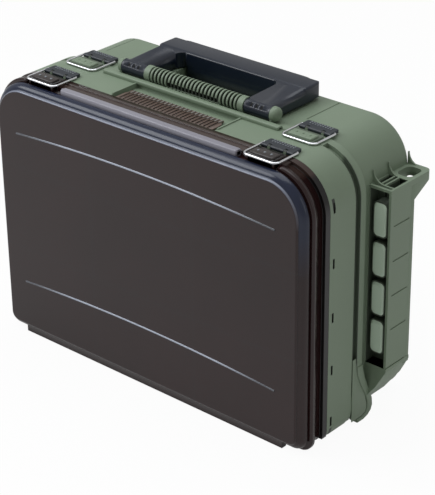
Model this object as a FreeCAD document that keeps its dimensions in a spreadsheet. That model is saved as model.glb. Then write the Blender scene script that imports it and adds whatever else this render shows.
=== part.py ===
"""Two-sided hard tackle case that stands on its long edge.

A smoke lid closes a shallow divided tray, the tray closes a deep tub, and both open
about hinges on the bottom edge. Four draw latches hold them shut, a carrying handle
folds down on the tub's top, and the tub's sides carry a rack and a strap lug each.
+X is to the right, +Y to the back and +Z up; the origin is under the middle of the case.
"""
import FreeCAD, Part
import math
import os
import re
import Sketcher

doc = FreeCAD.newDocument("tackle_case")

# ------------------------------------------------------------------ driving sizes, mm
SIZES = [
    ("case_width", 446.0), ("case_height", 316.0), ("case_depth", 186.0),
    ("case_corner", 50.0), ("wall", 3.0), ("seam_gap", 0.3),
    # lid: a flat field, one large roll, a groove, a bead, a narrow band and the rim
    ("lid_depth", 39.0), ("lid_lower_corner", 16.0), ("field_rise", 1.2), ("field_inset", 14.0),
    ("field_lower_corner", 10.0), ("roll_end", 12.0), ("roll_inset", 3.0), ("roll_radius", 9.6),
    ("groove_inset", 6.0), ("bead_start", 14.2), ("bead_end", 20.0), ("bead_inset", 0.5),
    ("band_end", 22.0), ("band_inset", 2.5), ("edge_round", 2.5),
    ("crest_rise", 0.8), ("crest_upper", 253.5), ("crest_lower", 69.0), ("crest_half", 184.0),
    ("crest_bow", 7.0), ("crest_back_bow", 2.0),
    ("bar_half", 124.0), ("bar_rise", 1.5), ("bar_depth", 5.0), ("bead_gap_end", 176.0),
    ("tab_half", 68.0), ("tab_end", 60.0), ("tab_thick", 2.5), ("tab_drop", 1.0),
    ("tab_margin", 6.0), ("tab_rib_height", 0.8), ("tab_rib_width", 2.4), ("tab_rib_count", 24.0),
    ("lid_foot_half", 173.0), ("lid_foot_height", 8.0), ("lid_foot_front", 5.0),
    # tray, the middle shell
    ("tray_end", 86.0), ("tray_lower_corner", 21.0), ("rim_start", 80.0), ("rim_inset", 4.5),
    ("recess_half", 73.0), ("recess_depth", 4.5), ("recess_rib_width", 2.0),
    ("recess_rib_rise", 1.2), ("ridge_rise", 4.0), ("rim_fill_half", 180.0),
    ("slot_pitch", 61.6), ("slot_low", 26.3), ("slot_length", 11.0), ("slot_width", 3.0),
    ("slot_depth", 2.2), ("slot_offset", 5.2), ("slot_count", 5.0),
    # the tray's round lobe at each bottom corner, and the tub's groove and flange round it
    ("lobe_back", 84.0), ("lobe_height", 31.0), ("lobe_radius", 9.5), ("lobe_gap", 0.4),
    ("lobe_groove", 15.5), ("lobe_flange", 21.5), ("lobe_inner", 205.0),
    # tub, the rear shell
    ("groove_back", 88.0), ("flange_end", 97.0), ("tub_half", 212.5), ("tub_drop", 1.0),
    ("tub_corner", 48.0), ("tub_lower_corner", 28.0), ("back_round", 8.0),
    ("well_half", 66.0), ("well_start", 107.0), ("well_end", 160.0), ("well_depth", 24.0),
    ("well_corner", 10.0), ("line_width", 1.4), ("line_deep", 0.6),
    ("panel_inset", 30.0), ("panel_deep", 1.2), ("panel_corner", 24.0), ("panel_rib_count", 5.0),
    ("panel_rib_width", 3.0),
    # bottom hinges
    ("hinge_height", 5.5), ("knuckle_radius", 4.8), ("pin_radius", 1.5), ("pin_play", 0.06),
    ("hinge_spread", 125.0), ("knuckle_length", 26.0), ("knuckle_gap", 0.4),
    ("channel_half", 11.0), ("channel_height", 10.6),
    # carrying handle
    ("pivot_back", 95.0), ("pivot_height", 324.5), ("barrel_radius", 8.0),
    ("handle_half", 104.0), ("handle_leg", 34.0), ("handle_back", 180.0),
    ("handle_grip_front", 147.0), ("handle_top", 335.0), ("handle_clear", 0.6),
    ("handle_corner", 24.0), ("handle_crown", 7.0), ("handle_under", 3.0),
    ("skirt_low", 304.0), ("skirt_thick", 8.0), ("skirt_play", 1.5), ("handle_pin_radius", 2.5),
    ("boss_length", 7.5), ("dome_length", 8.0), ("boss_extra", 1.0), ("boss_gap", 0.4),
    ("fin_count", 24.0), ("fin_pitch", 5.1), ("fin_width", 2.2), ("fin_core", 5.0),
    ("fin_foot", 4.0), ("notch_half", 36.0), ("notch_sill", 3.0),
    ("grip_slot_width", 3.0), ("grip_slot_pitch", 7.0), ("grip_slot_margin", 9.0),
    ("grip_slot_core", 3.2), ("comb_count", 13.0), ("comb_pitch", 6.6), ("comb_width", 2.4),
    ("comb_rise", 1.2),
    # draw latches
    ("latch_spread", 154.0), ("front_pivot", 41.8), ("rear_pivot", 101.5),
    ("latch_height", 317.5), ("lever_half", 20.0), ("lever_reach", 13.5),
    ("lever_skirt", 1.0), ("lever_skin", 1.4), ("lever_lip", 1.5), ("lever_barrel", 2.2),
    ("lever_pin", 1.0), ("lever_play", 0.3), ("lever_crown", 0.8),
    ("ear_half", 12.0), ("ear_width", 3.4), ("bail_wire", 1.2), ("bail_offset", 5.5),
    ("bail_rise", 0.35), ("bail_reach", 29.5), ("bail_clear", 0.3), ("bail_bend", 6.0),
    ("bail_tail", 3.0), ("catch_half", 18.0), ("catch_top", 319.0), ("catch_end", 8.0),
    # side racks
    ("overall_width", 480.0), ("rack_front", 116.0), ("rack_back", 150.0),
    ("rack_top", 270.0), ("rack_bottom", 58.0), ("rack_wall", 3.0), ("channel_deep", 14.0),
    ("pad_count", 4.0), ("pad_pitch", 45.4), ("pad_height", 40.4), ("pad_low", 76.5),
    ("pad_set_back", 2.5), ("pad_gap", 2.6), ("pad_corner", 6.0), ("channel_low", 63.0),
    ("cell_depth", 20.0), ("rib_thick", 2.0), ("front_cell", 3.5), ("slit_width", 3.2),
    ("slit_offset", 8.0), ("lug_back", 184.0), ("lug_thick", 6.0), ("lug_corner", 9.0),
    ("lug_rim", 4.0), ("sweep_rise", 13.0), ("groove_deep", 0.8), ("groove_tall", 1.8),
    ("groove_low", 108.0), ("groove_pitch", 40.0),
    # loose inside parts and the guide ribs that hold them
    ("divider_thick", 2.0), ("divider_play", 0.3), ("tray_row_low", 112.0),
    ("tray_row_high", 212.0), ("tray_column", 73.0), ("tub_row", 128.0), ("tub_column", 105.0),
    ("guide_width", 1.4), ("guide_rise", 2.0),
]
sheet = doc.addObject("Spreadsheet::Sheet", "sizes")
for line, (alias, value) in enumerate(SIZES, start=1):
    sheet.set(f"A{line}", alias)
    sheet.set(f"B{line}", str(value))
    sheet.setAlias(f"B{line}", alias)
doc.recompute()

VALUE = dict(SIZES)
ALIAS = re.compile(r"\b(" + "|".join(sorted(VALUE, key=len, reverse=True)) + r")\b")

# y positions are counted from the lid's front face, heights from the floor
FRONT = "-case_depth / 2"
HALF = "case_width / 2"
TOP = "case_height"

# turns that lay a cylinder's axis along X or along Y
ALONG_X = FreeCAD.Rotation(FreeCAD.Vector(0, 1, 0), 90)
ALONG_Y = FreeCAD.Rotation(FreeCAD.Vector(1, 0, 0), -90)


def formula(text):
    """Give the sheet's name to every alias in an expression."""
    return ALIAS.sub(r"sizes.\1", str(text))


def back(text):
    """The y of a point at a stated distance behind the lid's front face."""
    return f"{FRONT} + ({text})"


def bind(item, **links):
    """Bind properties of one object; a double underscore stands for a dot."""
    for name, text in links.items():
        item.setExpression(name.replace("__", "."), formula(text))


def block(name, x, y, z):
    """A box between three pairs of expressions."""
    item = doc.addObject("Part::Box", name)
    bind(item, Length=f"({x[1]}) - ({x[0]})", Width=f"({y[1]}) - ({y[0]})",
         Height=f"({z[1]}) - ({z[0]})", Placement__Base__x=x[0],
         Placement__Base__y=y[0], Placement__Base__z=z[0])
    return item


def rod(name, x, y, z, radius):
    """A cylinder along X between two x expressions."""
    item = doc.addObject("Part::Cylinder", name)
    item.Placement = FreeCAD.Placement(FreeCAD.Vector(), ALONG_X)
    bind(item, Radius=radius, Height=f"({x[1]}) - ({x[0]})", Placement__Base__x=x[0],
         Placement__Base__y=y, Placement__Base__z=z)
    return item


def fuse(name, parts):
    item = doc.addObject("Part::MultiFuse", name)
    item.Shapes = parts
    return item


def cut(name, base, tools):
    """Take one or more tools out of a base."""
    item = doc.addObject("Part::Cut", name)
    item.Base = base
    item.Tool = tools[0] if len(tools) == 1 else fuse(f"{name}_tools", tools)
    return item


def plane_of(body, role):
    """The body's own origin plane or axis with this role."""
    return next(item for item in body.Origin.OriginFeatures if item.Role == role)


def add_fillet(body, name, radius, wanted):
    """Round the edges of the body's tip that a test picks."""
    doc.recompute()
    base = body.Tip
    names = [f"Edge{i}" for i, edge in enumerate(base.Shape.Edges, start=1) if wanted(edge)]
    item = body.newObject("PartDesign::Fillet", name)
    item.Base = (base, names)
    bind(item, Radius=radius)
    body.Tip = item
    return item


def runs_along(edge, axis):
    """True for a straight edge that lies mostly along one axis (0, 1 or 2)."""
    if edge.Curve.TypeId != "Part::GeomLine":
        return False
    first, last = edge.Vertexes[0].Point, edge.Vertexes[-1].Point
    return abs((last - first).normalize()[axis]) > 0.99


def at_level(edge, axis, level):
    """True for an edge that lies in the plane where one coordinate has this value."""
    box = edge.BoundBox
    low, high = ((box.XMin, box.XMax), (box.YMin, box.YMax), (box.ZMin, box.ZMax))[axis]
    return abs(low - level) < 0.01 and abs(high - level) < 0.01


def box_body(name, x, y, z):
    """A body that starts as a box between three pairs of expressions."""
    body = doc.addObject("PartDesign::Body", name)
    base = body.newObject("PartDesign::AdditiveBox", f"{name}_block")
    bind(base, Length=f"({x[1]}) - ({x[0]})", Width=f"({y[1]}) - ({y[0]})",
         Height=f"({z[1]}) - ({z[0]})", Placement__Base__x=x[0],
         Placement__Base__y=y[0], Placement__Base__z=z[0])
    body.Tip = base
    return body


def slab(name, inset, y, corner, foot, low=None, high=None, front_roll=None):
    """A rounded upright slab, inset all round from the case outline.

    corner is the radius of its two upper corners, foot that of its two lower ones.
    """
    body = box_body(name, (f"-{HALF} + {inset}", f"{HALF} - ({inset})"), y,
                    (low or inset, high or f"{TOP} - ({inset})"))
    doc.recompute()
    middle = body.Tip.Shape.BoundBox.Center.z
    add_fillet(body, f"{name}_corners", corner,
               lambda edge: runs_along(edge, 1) and edge.BoundBox.ZMin > middle)
    add_fillet(body, f"{name}_feet", foot,
               lambda edge: runs_along(edge, 1) and edge.BoundBox.ZMax < middle)
    if front_roll:
        doc.recompute()
        front = body.Tip.Shape.BoundBox.YMin
        add_fillet(body, f"{name}_roll", front_roll, lambda edge: at_level(edge, 1, front))
    return body


def rounded(name, x, y, z, axis, radius):
    """A box with its edges along one axis rounded."""
    body = box_body(name, x, y, z)
    add_fillet(body, f"{name}_corners", radius, lambda edge: runs_along(edge, axis))
    return body


def polygon_pad(name, role, start, length, points, corner=None):
    """A body padded from a closed polygon on an origin plane.

    points are pairs of expressions in the sketch's own axes; the pad runs from start for
    length along the plane's normal. corner is an optional pair of a radius and a test.
    """
    body = doc.addObject("PartDesign::Body", name)
    sketch = body.newObject("Sketcher::SketchObject", f"{name}_outline")
    sketch.AttachmentSupport = [(plane_of(body, role), "")]
    sketch.MapMode = "FlatFace"
    bind(sketch, AttachmentOffset__Base__z=start)
    ring = [FreeCAD.Vector(40 * math.cos(turn), 40 * math.sin(turn), 0)
            for turn in (2 * math.pi * i / len(points) for i in range(len(points)))]
    for i, here in enumerate(ring):
        sketch.addGeometry(Part.LineSegment(here, ring[(i + 1) % len(ring)]))
    for i in range(len(points)):
        sketch.addConstraint(Sketcher.Constraint("Coincident", i, 2, (i + 1) % len(points), 1))
    for i, (across, up) in enumerate(points):
        for kind, text in (("DistanceX", across), ("DistanceY", up)):
            number = sketch.addConstraint(Sketcher.Constraint(kind, -1, 1, i, 1, 1.0 + i))
            sketch.setExpression(f"Constraints[{number}]", formula(text))
    doc.recompute()
    pad = body.newObject("PartDesign::Pad", f"{name}_pad")
    pad.Profile = sketch
    bind(pad, Length=length)
    body.Tip = pad
    if corner:
        add_fillet(body, f"{name}_corners", corner[0], corner[1])
    return body


def both_sides(name, item):
    """An object together with its mirror image across the middle plane."""
    twin = doc.addObject("Part::Mirroring", f"{name}_mirror")
    twin.Source = item
    twin.Normal = (1, 0, 0)
    return fuse(name, [item, twin])


FINISHED = []


def finish(item, name):
    """Keep an object as a sub-part under its own label."""
    item.Label = name
    FINISHED.append(item)


# ------------------------------------------------------------------ bottom hinges
# Each seam has a hinge axis low down in a channel under the case. At every station the
# shell behind the seam carries two outer knuckles, the shell in front the middle one.
HINGE = "hinge_height"
LID_AXIS = back("lid_depth + seam_gap / 2")
TRAY_AXIS = back("tray_end")
STATIONS = ("-hinge_spread", "0", "hinge_spread")


def knuckles(name, axis, middle, seam_side):
    """The knuckles of one shell at every station, with the webs that carry them.

    seam_side is -1 for the shell in front of the axis and 1 for the one behind it.
    """
    parts = []
    for i, centre in enumerate(STATIONS):
        if middle:
            spans = [(f"{centre} - knuckle_length / 2", f"{centre} + knuckle_length / 2")]
        else:
            outer = "knuckle_length * 1.5"
            inner = "knuckle_length / 2 + knuckle_gap"
            spans = [(f"{centre} - {outer}", f"{centre} - ({inner})"),
                     (f"{centre} + {inner}", f"{centre} + {outer}")]
        for j, span in enumerate(spans):
            parts.append(rod(f"{name}_barrel_{i}{j}", span, axis, HINGE, "knuckle_radius"))
            reach = (axis, f"{axis} + knuckle_radius")
            if seam_side < 0:
                reach = (f"{axis} - knuckle_radius", axis)
            parts.append(block(f"{name}_web_{i}{j}", span, reach, (HINGE, "channel_height + 1")))
    return parts


def hinge_spans():
    """The x range of the knuckles at each station."""
    return [(f"{x} - knuckle_length * 1.5", f"{x} + knuckle_length * 1.5") for x in STATIONS]


def hinge_bores(name, axis):
    """The bores for the pins of one hinge line."""
    return [rod(f"{name}_bore_{i}", (f"{low} - 1", f"{high} + 1"), axis, HINGE, "pin_radius + pin_play")
            for i, (low, high) in enumerate(hinge_spans())]


def hinge_pins(name, axis):
    """One steel pin at each station."""
    return fuse(name, [rod(f"{name}_{i}", span, axis, HINGE, "pin_radius")
                       for i, span in enumerate(hinge_spans())])


def channel(name, axis, low, high):
    """The space that a shell leaves under the seam for the hinge, between two offsets."""
    return block(name, (f"-{HALF} - 1", f"{HALF} + 1"), (f"{axis} + ({low})", f"{axis} + ({high})"),
                 ("-1", "channel_height"))


def ledge(name, axis, low, high):
    """Filling over a hinge channel that keeps the floor of a shell closed."""
    return block(name, (f"-{HALF}", HALF), (f"{axis} + ({low})", f"{axis} + ({high})"),
                 ("-1", "channel_height + wall"))


# ------------------------------------------------------------------ draw latches
# A lever turns on a pin between two ears of the shell behind the seam. A wire bail hangs
# in the lever and lies round a catch block on the shell in front. Lifting the lever
# carries the bail up and forward off the block.
PIVOT = {"front": back("front_pivot"), "rear": back("rear_pivot")}
SIDE = {"left": "-latch_spread", "right": "latch_spread"}


def catch_blocks(row, low):
    """Two catch blocks of one latch row, each with its top edges rounded."""
    made = []
    start = f"{PIVOT[row]} - bail_reach + bail_wire + bail_clear"
    for side, centre in SIDE.items():
        made.append(rounded(f"catch_{row}_{side}", (f"{centre} - catch_half", f"{centre} + catch_half"),
                            (start, f"{PIVOT[row]} - catch_end"), (low, "catch_top"), 2, "edge_round"))
    return made


def ear_spans(centre, play="0"):
    """The x ranges of the two ears of one latch, widened by a play."""
    return [(f"{centre} - ear_half - {play}", f"{centre} - ear_half + ear_width + {play}"),
            (f"{centre} + ear_half - ear_width - {play}", f"{centre} + ear_half + {play}")]


def latch_ears(row):
    """The ears that hold the lever pins of one latch row."""
    parts = []
    reach = (f"{PIVOT[row]} - lever_barrel", f"{PIVOT[row]} + lever_barrel")
    for side, centre in SIDE.items():
        for i, span in enumerate(ear_spans(centre)):
            parts.append(rod(f"ear_{row}_{side}_{i}", span, PIVOT[row], "latch_height", "lever_barrel"))
            parts.append(block(f"ear_foot_{row}_{side}_{i}", span, reach, (f"{TOP} - wall", "latch_height")))
    return parts


def latch_pockets(row):
    """Shallow pockets in the shell's top that the lever barrels turn in."""
    reach = "lever_barrel + lever_play"
    half = "lever_half + lever_play"
    y = (f"{PIVOT[row]} - ({reach})", f"{PIVOT[row]} + ({reach})")
    return [block(f"pocket_{row}_{side}", (f"{x} - ({half})", f"{x} + {half}"), y,
                  (f"latch_height - ({reach})", f"{TOP} + 1")) for side, x in SIDE.items()]


def ear_bores(row):
    return [rod(f"ear_bore_{row}_{side}", (f"{x} - ear_half - 1", f"{x} + ear_half + 1"),
                PIVOT[row], "latch_height", "lever_pin + pin_play") for side, x in SIDE.items()]


def lever_pins(row):
    return fuse(f"{row}_lever_pins", [
        rod(f"lever_pin_{row}_{side}", (f"{x} - lever_half + lever_play", f"{x} + lever_half - lever_play"),
            PIVOT[row], "latch_height", "lever_pin") for side, x in SIDE.items()])


def lever(row, side):
    """The latch lever: a flat plate whose front edge is the barrel, slotted for the ears."""
    tag = f"{row}_{side}"
    x, y = SIDE[side], PIVOT[row]
    low, high = "latch_height - lever_skirt", "latch_height + lever_barrel"
    width = (f"{x} - lever_half", f"{x} + lever_half")
    plate = box_body(f"lever_plate_{tag}", width, (y, f"{y} + lever_reach"), (low, high))
    doc.recompute()
    ends = plate.Tip.Shape.BoundBox
    add_fillet(plate, f"lever_corners_{tag}", "edge_round",
               lambda edge: runs_along(edge, 2) and edge.BoundBox.YMin > ends.Center.y)
    add_fillet(plate, f"lever_crown_{tag}", "lever_crown",
               lambda edge: at_level(edge, 2, ends.ZMax) and not at_level(edge, 1, ends.YMin))
    barrel = rod(f"lever_barrel_{tag}", width, y, "latch_height", "lever_barrel")
    slot_y = (f"{y} - lever_barrel - 1", f"{y} + lever_barrel + lever_play")
    slots = [block(f"ear_slot_{tag}_{i}", span, slot_y, (f"{low} - 2", f"{high} + 1"))
             for i, span in enumerate(ear_spans(x, "lever_play"))]
    under = block(f"lever_hollow_{tag}", (f"{x} - lever_half + wall", f"{x} + lever_half - wall"),
                  (f"{y} + lever_barrel * 2", f"{y} + lever_reach - lever_skin"),
                  (f"{low} - 1", f"{high} - lever_skin"))
    lip = block(f"lever_lip_{tag}", (f"{x} - lever_half / 2", f"{x} + lever_half / 2"),
                (f"{y} + lever_reach - 1", f"{y} + lever_reach + lever_lip"),
                (low, f"{low} + lever_skin"))
    pin_hole = rod(f"lever_hole_{tag}", (f"{width[0]} - 1", f"{width[1]} + 1"), y,
                   "latch_height", "lever_pin + pin_play")
    tail_hole = rod(f"bail_hole_{tag}", (f"{width[0]} - 1", f"{width[1]} + 1"),
                    f"{y} + bail_offset", "latch_height + bail_rise", "bail_wire + pin_play")
    solid = fuse(f"lever_solid_{tag}", [plate, barrel, lip])
    return cut(f"lever_{tag}", solid, [under, pin_hole, tail_hole] + slots)


def wire_bend(name, x, y, z, radius, turn):
    """A quarter turn of wire about an upright axis, from a start angle in degrees."""
    item = doc.addObject("Part::Torus", name)
    item.Angle3 = 90
    item.Placement = FreeCAD.Placement(FreeCAD.Vector(), FreeCAD.Rotation(FreeCAD.Vector(0, 0, 1), turn))
    bind(item, Radius1=radius, Radius2="bail_wire", Placement__Base__x=x,
         Placement__Base__y=y, Placement__Base__z=z)
    return item


def wire_arm(name, x, y, z):
    """A straight piece of wire along Y between two expressions."""
    item = doc.addObject("Part::Cylinder", name)
    item.Placement = FreeCAD.Placement(FreeCAD.Vector(), ALONG_Y)
    bind(item, Radius="bail_wire", Height=f"({y[1]}) - ({y[0]})", Placement__Base__x=x,
         Placement__Base__y=y[0], Placement__Base__z=z)
    return item


def bail(row, side):
    """The wire bail: two tails in the lever, two arms and a front bar, bent from one wire."""
    tag = f"{row}_{side}"
    x, y = SIDE[side], PIVOT[row]
    arm = "(lever_half + bail_wire + bail_clear)"
    height = "latch_height + bail_rise"
    tail, bar = f"({y} + bail_offset)", f"({y} - bail_reach)"
    bend, small = "bail_bend", "(bail_wire + 0.6)"
    width = (f"{x} - {arm} + {bend}", f"{x} + {arm} - {bend}")
    parts = [rod(f"bail_bar_{tag}", width, bar, height, "bail_wire")]
    for i, sign in enumerate(("-", "+")):
        inward = "+" if sign == "-" else "-"
        line = f"{x} {sign} {arm}"
        ends = (f"{line} {inward} {small}", f"{x} {sign} (lever_half - bail_tail)")
        span = ends if sign == "-" else (ends[1], ends[0])
        parts.append(rod(f"bail_tail_{tag}_{i}", span, tail, height, "bail_wire"))
        parts.append(wire_arm(f"bail_arm_{tag}_{i}", line, (f"{bar} + {bend}", f"{tail} - {small}"), height))
        parts.append(wire_bend(f"bail_front_bend_{tag}_{i}", f"{line} {inward} {bend}", f"{bar} + {bend}",
                               height, bend, 180 + 90 * i))
        parts.append(wire_bend(f"bail_back_bend_{tag}_{i}", f"{line} {inward} {small}", f"{tail} - {small}",
                               height, small, 90 - 90 * i))
    return fuse(f"bail_{tag}", parts)


# ------------------------------------------------------------------ lid
def make_lid():
    """The smoke lid: a raised field, a large roll, a groove, a bead, a band and the rim."""
    rim_end = back("lid_depth")
    rings = [("roll", "roll_inset", "crest_rise + field_rise", "roll_end", "roll_radius"),
             ("groove", "groove_inset", "roll_end", "bead_start", None),
             ("bead", "bead_inset", "bead_start", "bead_end", "edge_round"),
             ("band", "band_inset", "bead_end", "band_end", None),
             ("rim", "0", "band_end", "lid_depth", "edge_round / 2")]
    outer = [slab(f"lid_{name}", inset, (back(start), back(end)), f"case_corner - {inset}",
                  f"lid_lower_corner - {inset}", front_roll=roll) for name, inset, start, end, roll in rings]
    outer += [
        slab("lid_field", "field_inset", (back("crest_rise"), back("roll_end")),
             "case_corner - field_inset + 2", "field_lower_corner", front_roll="field_rise - 0.1"),
        rounded("lid_bar", ("-bar_half", "bar_half"), (back("bead_start"), back("bead_end")),
                (f"{TOP} - bead_inset + bar_rise - bar_depth", f"{TOP} - bead_inset + bar_rise"),
                0, "edge_round - 0.1"),
        block("lid_foot", ("-lid_foot_half", "lid_foot_half"),
              (back("lid_foot_front"), back("roll_end")), ("0", "lid_foot_height")),
    ]
    inner = "groove_inset + wall"
    cavity = [
        slab("lid_space", inner, (back("wall + 2"), back("band_end + wall + 1")),
             f"case_corner - ({inner})", f"lid_lower_corner - ({inner})"),
        slab("lid_mouth", "wall", (back("band_end + wall"), f"{rim_end} + 1"),
             "case_corner - wall", "lid_lower_corner - wall"),
    ]
    space = cut("lid_cavity", fuse("lid_cavity_all", cavity),
                [ledge("lid_ledge", LID_AXIS, "-channel_half - wall", "2")])
    gaps = block("bead_gap", ("bar_half", "bead_gap_end"), (back("roll_end"), back("band_end")),
                 (f"{TOP} - groove_inset", f"{TOP} + bar_rise + 1"))
    shell = cut("lid_shell", fuse("lid_outer", outer), [
        space, channel("lid_channel", LID_AXIS, "-channel_half", "2"), both_sides("bead_gaps", gaps)])
    extras = catch_blocks("front", f"{TOP} - groove_inset - 1") + knuckles("lid_knuckle", LID_AXIS, True, -1)
    extras += [crest("upper", "crest_upper"), crest("lower", "crest_lower"), pull_tab()]
    return cut("front_lid", fuse("lid_solid", [shell] + extras), hinge_bores("lid", LID_AXIS))


def crest(name, middle):
    """A long shallow crescent on the lid's field, between two arcs through the same ends."""
    arcs = []
    for part, bow in (("over", "crest_bow"), ("under", "crest_back_bow")):
        radius = f"((crest_half ^ 2 + {bow} ^ 2) / (2 * {bow}))"
        item = doc.addObject("Part::Cylinder", f"crest_{name}_{part}")
        item.Placement = FreeCAD.Placement(FreeCAD.Vector(), ALONG_Y)
        overrun = "0" if part == "over" else "1"
        bind(item, Radius=radius, Height=f"crest_rise + 1 + 2 * {overrun}",
             Placement__Base__y=f"{FRONT} - {overrun}", Placement__Base__z=f"{middle} + {bow} - {radius}")
        arcs.append(item)
    return cut(f"crest_{name}", arcs[0], [arcs[1]])


def pull_tab():
    """The ribbed tongue that lifts the lid, over the recess of the tray."""
    high = f"{TOP} - tab_drop"
    low = f"{high} - tab_thick"
    y = (back("band_end + wall + 2"), back("tab_end"))
    body = box_body("tab", ("-tab_half", "tab_half"), y, (low, high))
    doc.recompute()
    end = body.Tip.Shape.BoundBox.YMax
    add_fillet(body, "tab_corners", "wall * 2", lambda edge: runs_along(edge, 2) and at_level(edge, 1, end))
    first = "-tab_half + tab_margin - tab_rib_width / 2"
    rib = body.newObject("PartDesign::AdditiveBox", "tab_rib")
    bind(rib, Length="tab_rib_width", Width="tab_end - lid_depth - tab_margin / 2",
         Height="tab_thick + tab_rib_height", Placement__Base__x=first,
         Placement__Base__y=back("lid_depth + 0.5"), Placement__Base__z=low)
    body.Tip = rib
    doc.recompute()
    row = body.newObject("PartDesign::LinearPattern", "tab_ribs")
    row.Originals = [rib]
    row.Direction = (plane_of(body, "X_Axis"), [""])
    bind(row, Length="2 * (tab_half - tab_margin)", Occurrences="tab_rib_count")
    body.Tip = row
    return body


# ------------------------------------------------------------------ tray
def lobe(name, x, radius):
    """A disc at the tray's bottom corners, on both sides, between two x expressions."""
    return both_sides(f"{name}_pair", rod(name, x, back("lobe_back"), "lobe_height", radius))


def make_tray():
    """The middle shell: a shallow tray open to the front, whose back wall closes the tub."""
    front, rear = f"{back('lid_depth')} + seam_gap", f"{TRAY_AXIS} - seam_gap"
    recess_rib = block("recess_rib", ("recess_half", "recess_half + recess_rib_width"),
                       (f"{front} + wall", back("rim_start + 1")), (f"{TOP} - 1", f"{TOP} + recess_rib_rise"))
    outer = [
        slab("tray_wall", "0", (front, back("rim_start")), "case_corner", "tray_lower_corner"),
        slab("tray_rim", "rim_inset", (back("rim_start"), rear), "case_corner - rim_inset",
             "tray_lower_corner - rim_inset"),
        block("tray_rim_fill", ("-rim_fill_half", "rim_fill_half"), (back("rim_start"), rear),
              (f"{TOP} - wall * 3", TOP)),
        rounded("tray_ridge", ("-bar_half", "bar_half"), (back("rim_start"), rear),
                (f"{TOP} - wall", f"{TOP} + ridge_rise"), 0, "edge_round"),
        both_sides("recess_ribs", recess_rib),
        lobe("tray_lobe", ("lobe_inner", HALF), "lobe_radius"),
    ]
    space = slab("tray_space", "wall", (f"{front} - 1", f"{rear} - wall"), "case_corner - wall",
                 "tray_lower_corner - wall")
    filling = [
        ledge("tray_front_ledge", LID_AXIS, "-2", "channel_half + wall"),
        ledge("tray_rear_ledge", TRAY_AXIS, "-channel_half - wall", "2"),
        block("tray_recess_wall", ("-recess_half - wall", "recess_half + wall"), (f"{front} - 2", rear),
              (f"{TOP} - recess_depth - wall", TOP)),
    ]
    shell = cut("tray_shell", fuse("tray_outer", outer), [
        cut("tray_cavity", space, filling + tray_guides(rear)),
        channel("tray_front_channel", LID_AXIS, "-2", "channel_half"),
        channel("tray_rear_channel", TRAY_AXIS, "-channel_half", "2"),
        block("tray_recess", ("-recess_half", "recess_half"), (f"{front} - 2", back("rim_start + 1")),
              (f"{TOP} - recess_depth", f"{TOP} + ridge_rise + 1")),
        both_sides("tray_slots", side_slots())] + latch_pockets("front"))
    extras = catch_blocks("rear", f"{TOP} + seam_gap") + latch_ears("front")
    extras += knuckles("tray_front_knuckle", LID_AXIS, False, 1)
    extras += knuckles("tray_rear_knuckle", TRAY_AXIS, True, -1)
    roots = [block(f"catch_root_{side}", (f"{x} - catch_half", f"{x} + catch_half"),
                   (f"{PIVOT['rear']} - bail_reach + bail_wire + bail_clear", rear),
                   (f"{TOP} - 1", f"{TOP} + 1")) for side, x in SIDE.items()]
    return cut("front_shell", fuse("tray_solid", [shell] + extras + roots),
               hinge_bores("tray_front", LID_AXIS) + hinge_bores("tray_rear", TRAY_AXIS) + ear_bores("front"))


def guide_pair(name, centre, make):
    """Two guide ribs, one on each side of a divider whose middle is at centre."""
    near = "(divider_thick / 2 + divider_play)"
    spans = [(f"{centre} - {near} - guide_width", f"{centre} - {near}"),
             (f"{centre} + {near}", f"{centre} + {near} + guide_width")]
    return [make(f"{name}_{i}", span) for i, span in enumerate(spans)]


def tray_guides(rear):
    """Ribs inside the tray that hold the ends of the shelves and the backs of the uprights."""
    side_x = (f"{HALF} - wall - guide_rise", HALF)
    side_y = (back("lid_depth + guide_rise * 2"), rear)
    wall_y = (f"{rear} - wall - guide_rise", rear)
    parts = []
    for row in ("tray_row_low", "tray_row_high"):
        parts += guide_pair(f"guide_{row}", f"{row} + divider_thick / 2",
                            lambda name, span: both_sides(f"{name}_pair", block(name, side_x, side_y, span)))
    for band, (low, high) in tray_bands().items():
        reach = (f"{low} + guide_rise * 3", f"{high} - guide_rise * 3")
        parts += guide_pair(f"guide_{band}", "tray_column",
                            lambda name, span: both_sides(f"{name}_pair", block(name, span, wall_y, reach)))
    return parts


def side_slots():
    """Five upright slots in the tray's right wall."""
    body = box_body("slot", (f"{HALF} - slot_depth", f"{HALF} + 1"),
                    (back("lid_depth + slot_offset"), back("lid_depth + slot_offset + slot_width")),
                    ("slot_low - slot_length / 2", "slot_low + slot_length / 2"))
    doc.recompute()
    column = body.newObject("PartDesign::LinearPattern", "slot_column")
    column.Originals = [body.Tip]
    column.Direction = (plane_of(body, "Z_Axis"), [""])
    bind(column, Length="slot_pitch * (slot_count - 1)", Occurrences="slot_count")
    body.Tip = column
    return body


# ------------------------------------------------------------------ tub
def tub_slab(name, inset, y, corner, foot, rear_round):
    """The tub's outline behind the flange, less an inset all round, rounded to the back."""
    body = slab(name, f"({HALF} - tub_half + {inset})", y, corner, foot, low=inset,
                high=f"{TOP} - tub_drop - ({inset})")
    doc.recompute()
    rear = body.Tip.Shape.BoundBox.YMax
    add_fillet(body, f"{name}_back", rear_round, lambda edge: at_level(edge, 1, rear))
    return body


def fin_row():
    """The row of ring fins between the handle's bosses, each on a narrow foot."""
    y = back("pivot_back")
    parts = []
    for i in range(int(VALUE["fin_count"])):
        low = f"fin_pitch * ({i} - (fin_count - 1) / 2) - fin_width / 2"
        span = (low, f"{low} + fin_width")
        parts.append(rod(f"fin_ring_{i}", span, y, "pivot_height", "barrel_radius + boss_extra"))
        parts.append(block(f"fin_foot_{i}", span, (f"{y} - fin_foot", f"{y} + fin_foot"),
                           (f"{TOP} - wall / 2", "pivot_height")))
    return fuse("fin_row", parts)


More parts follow.
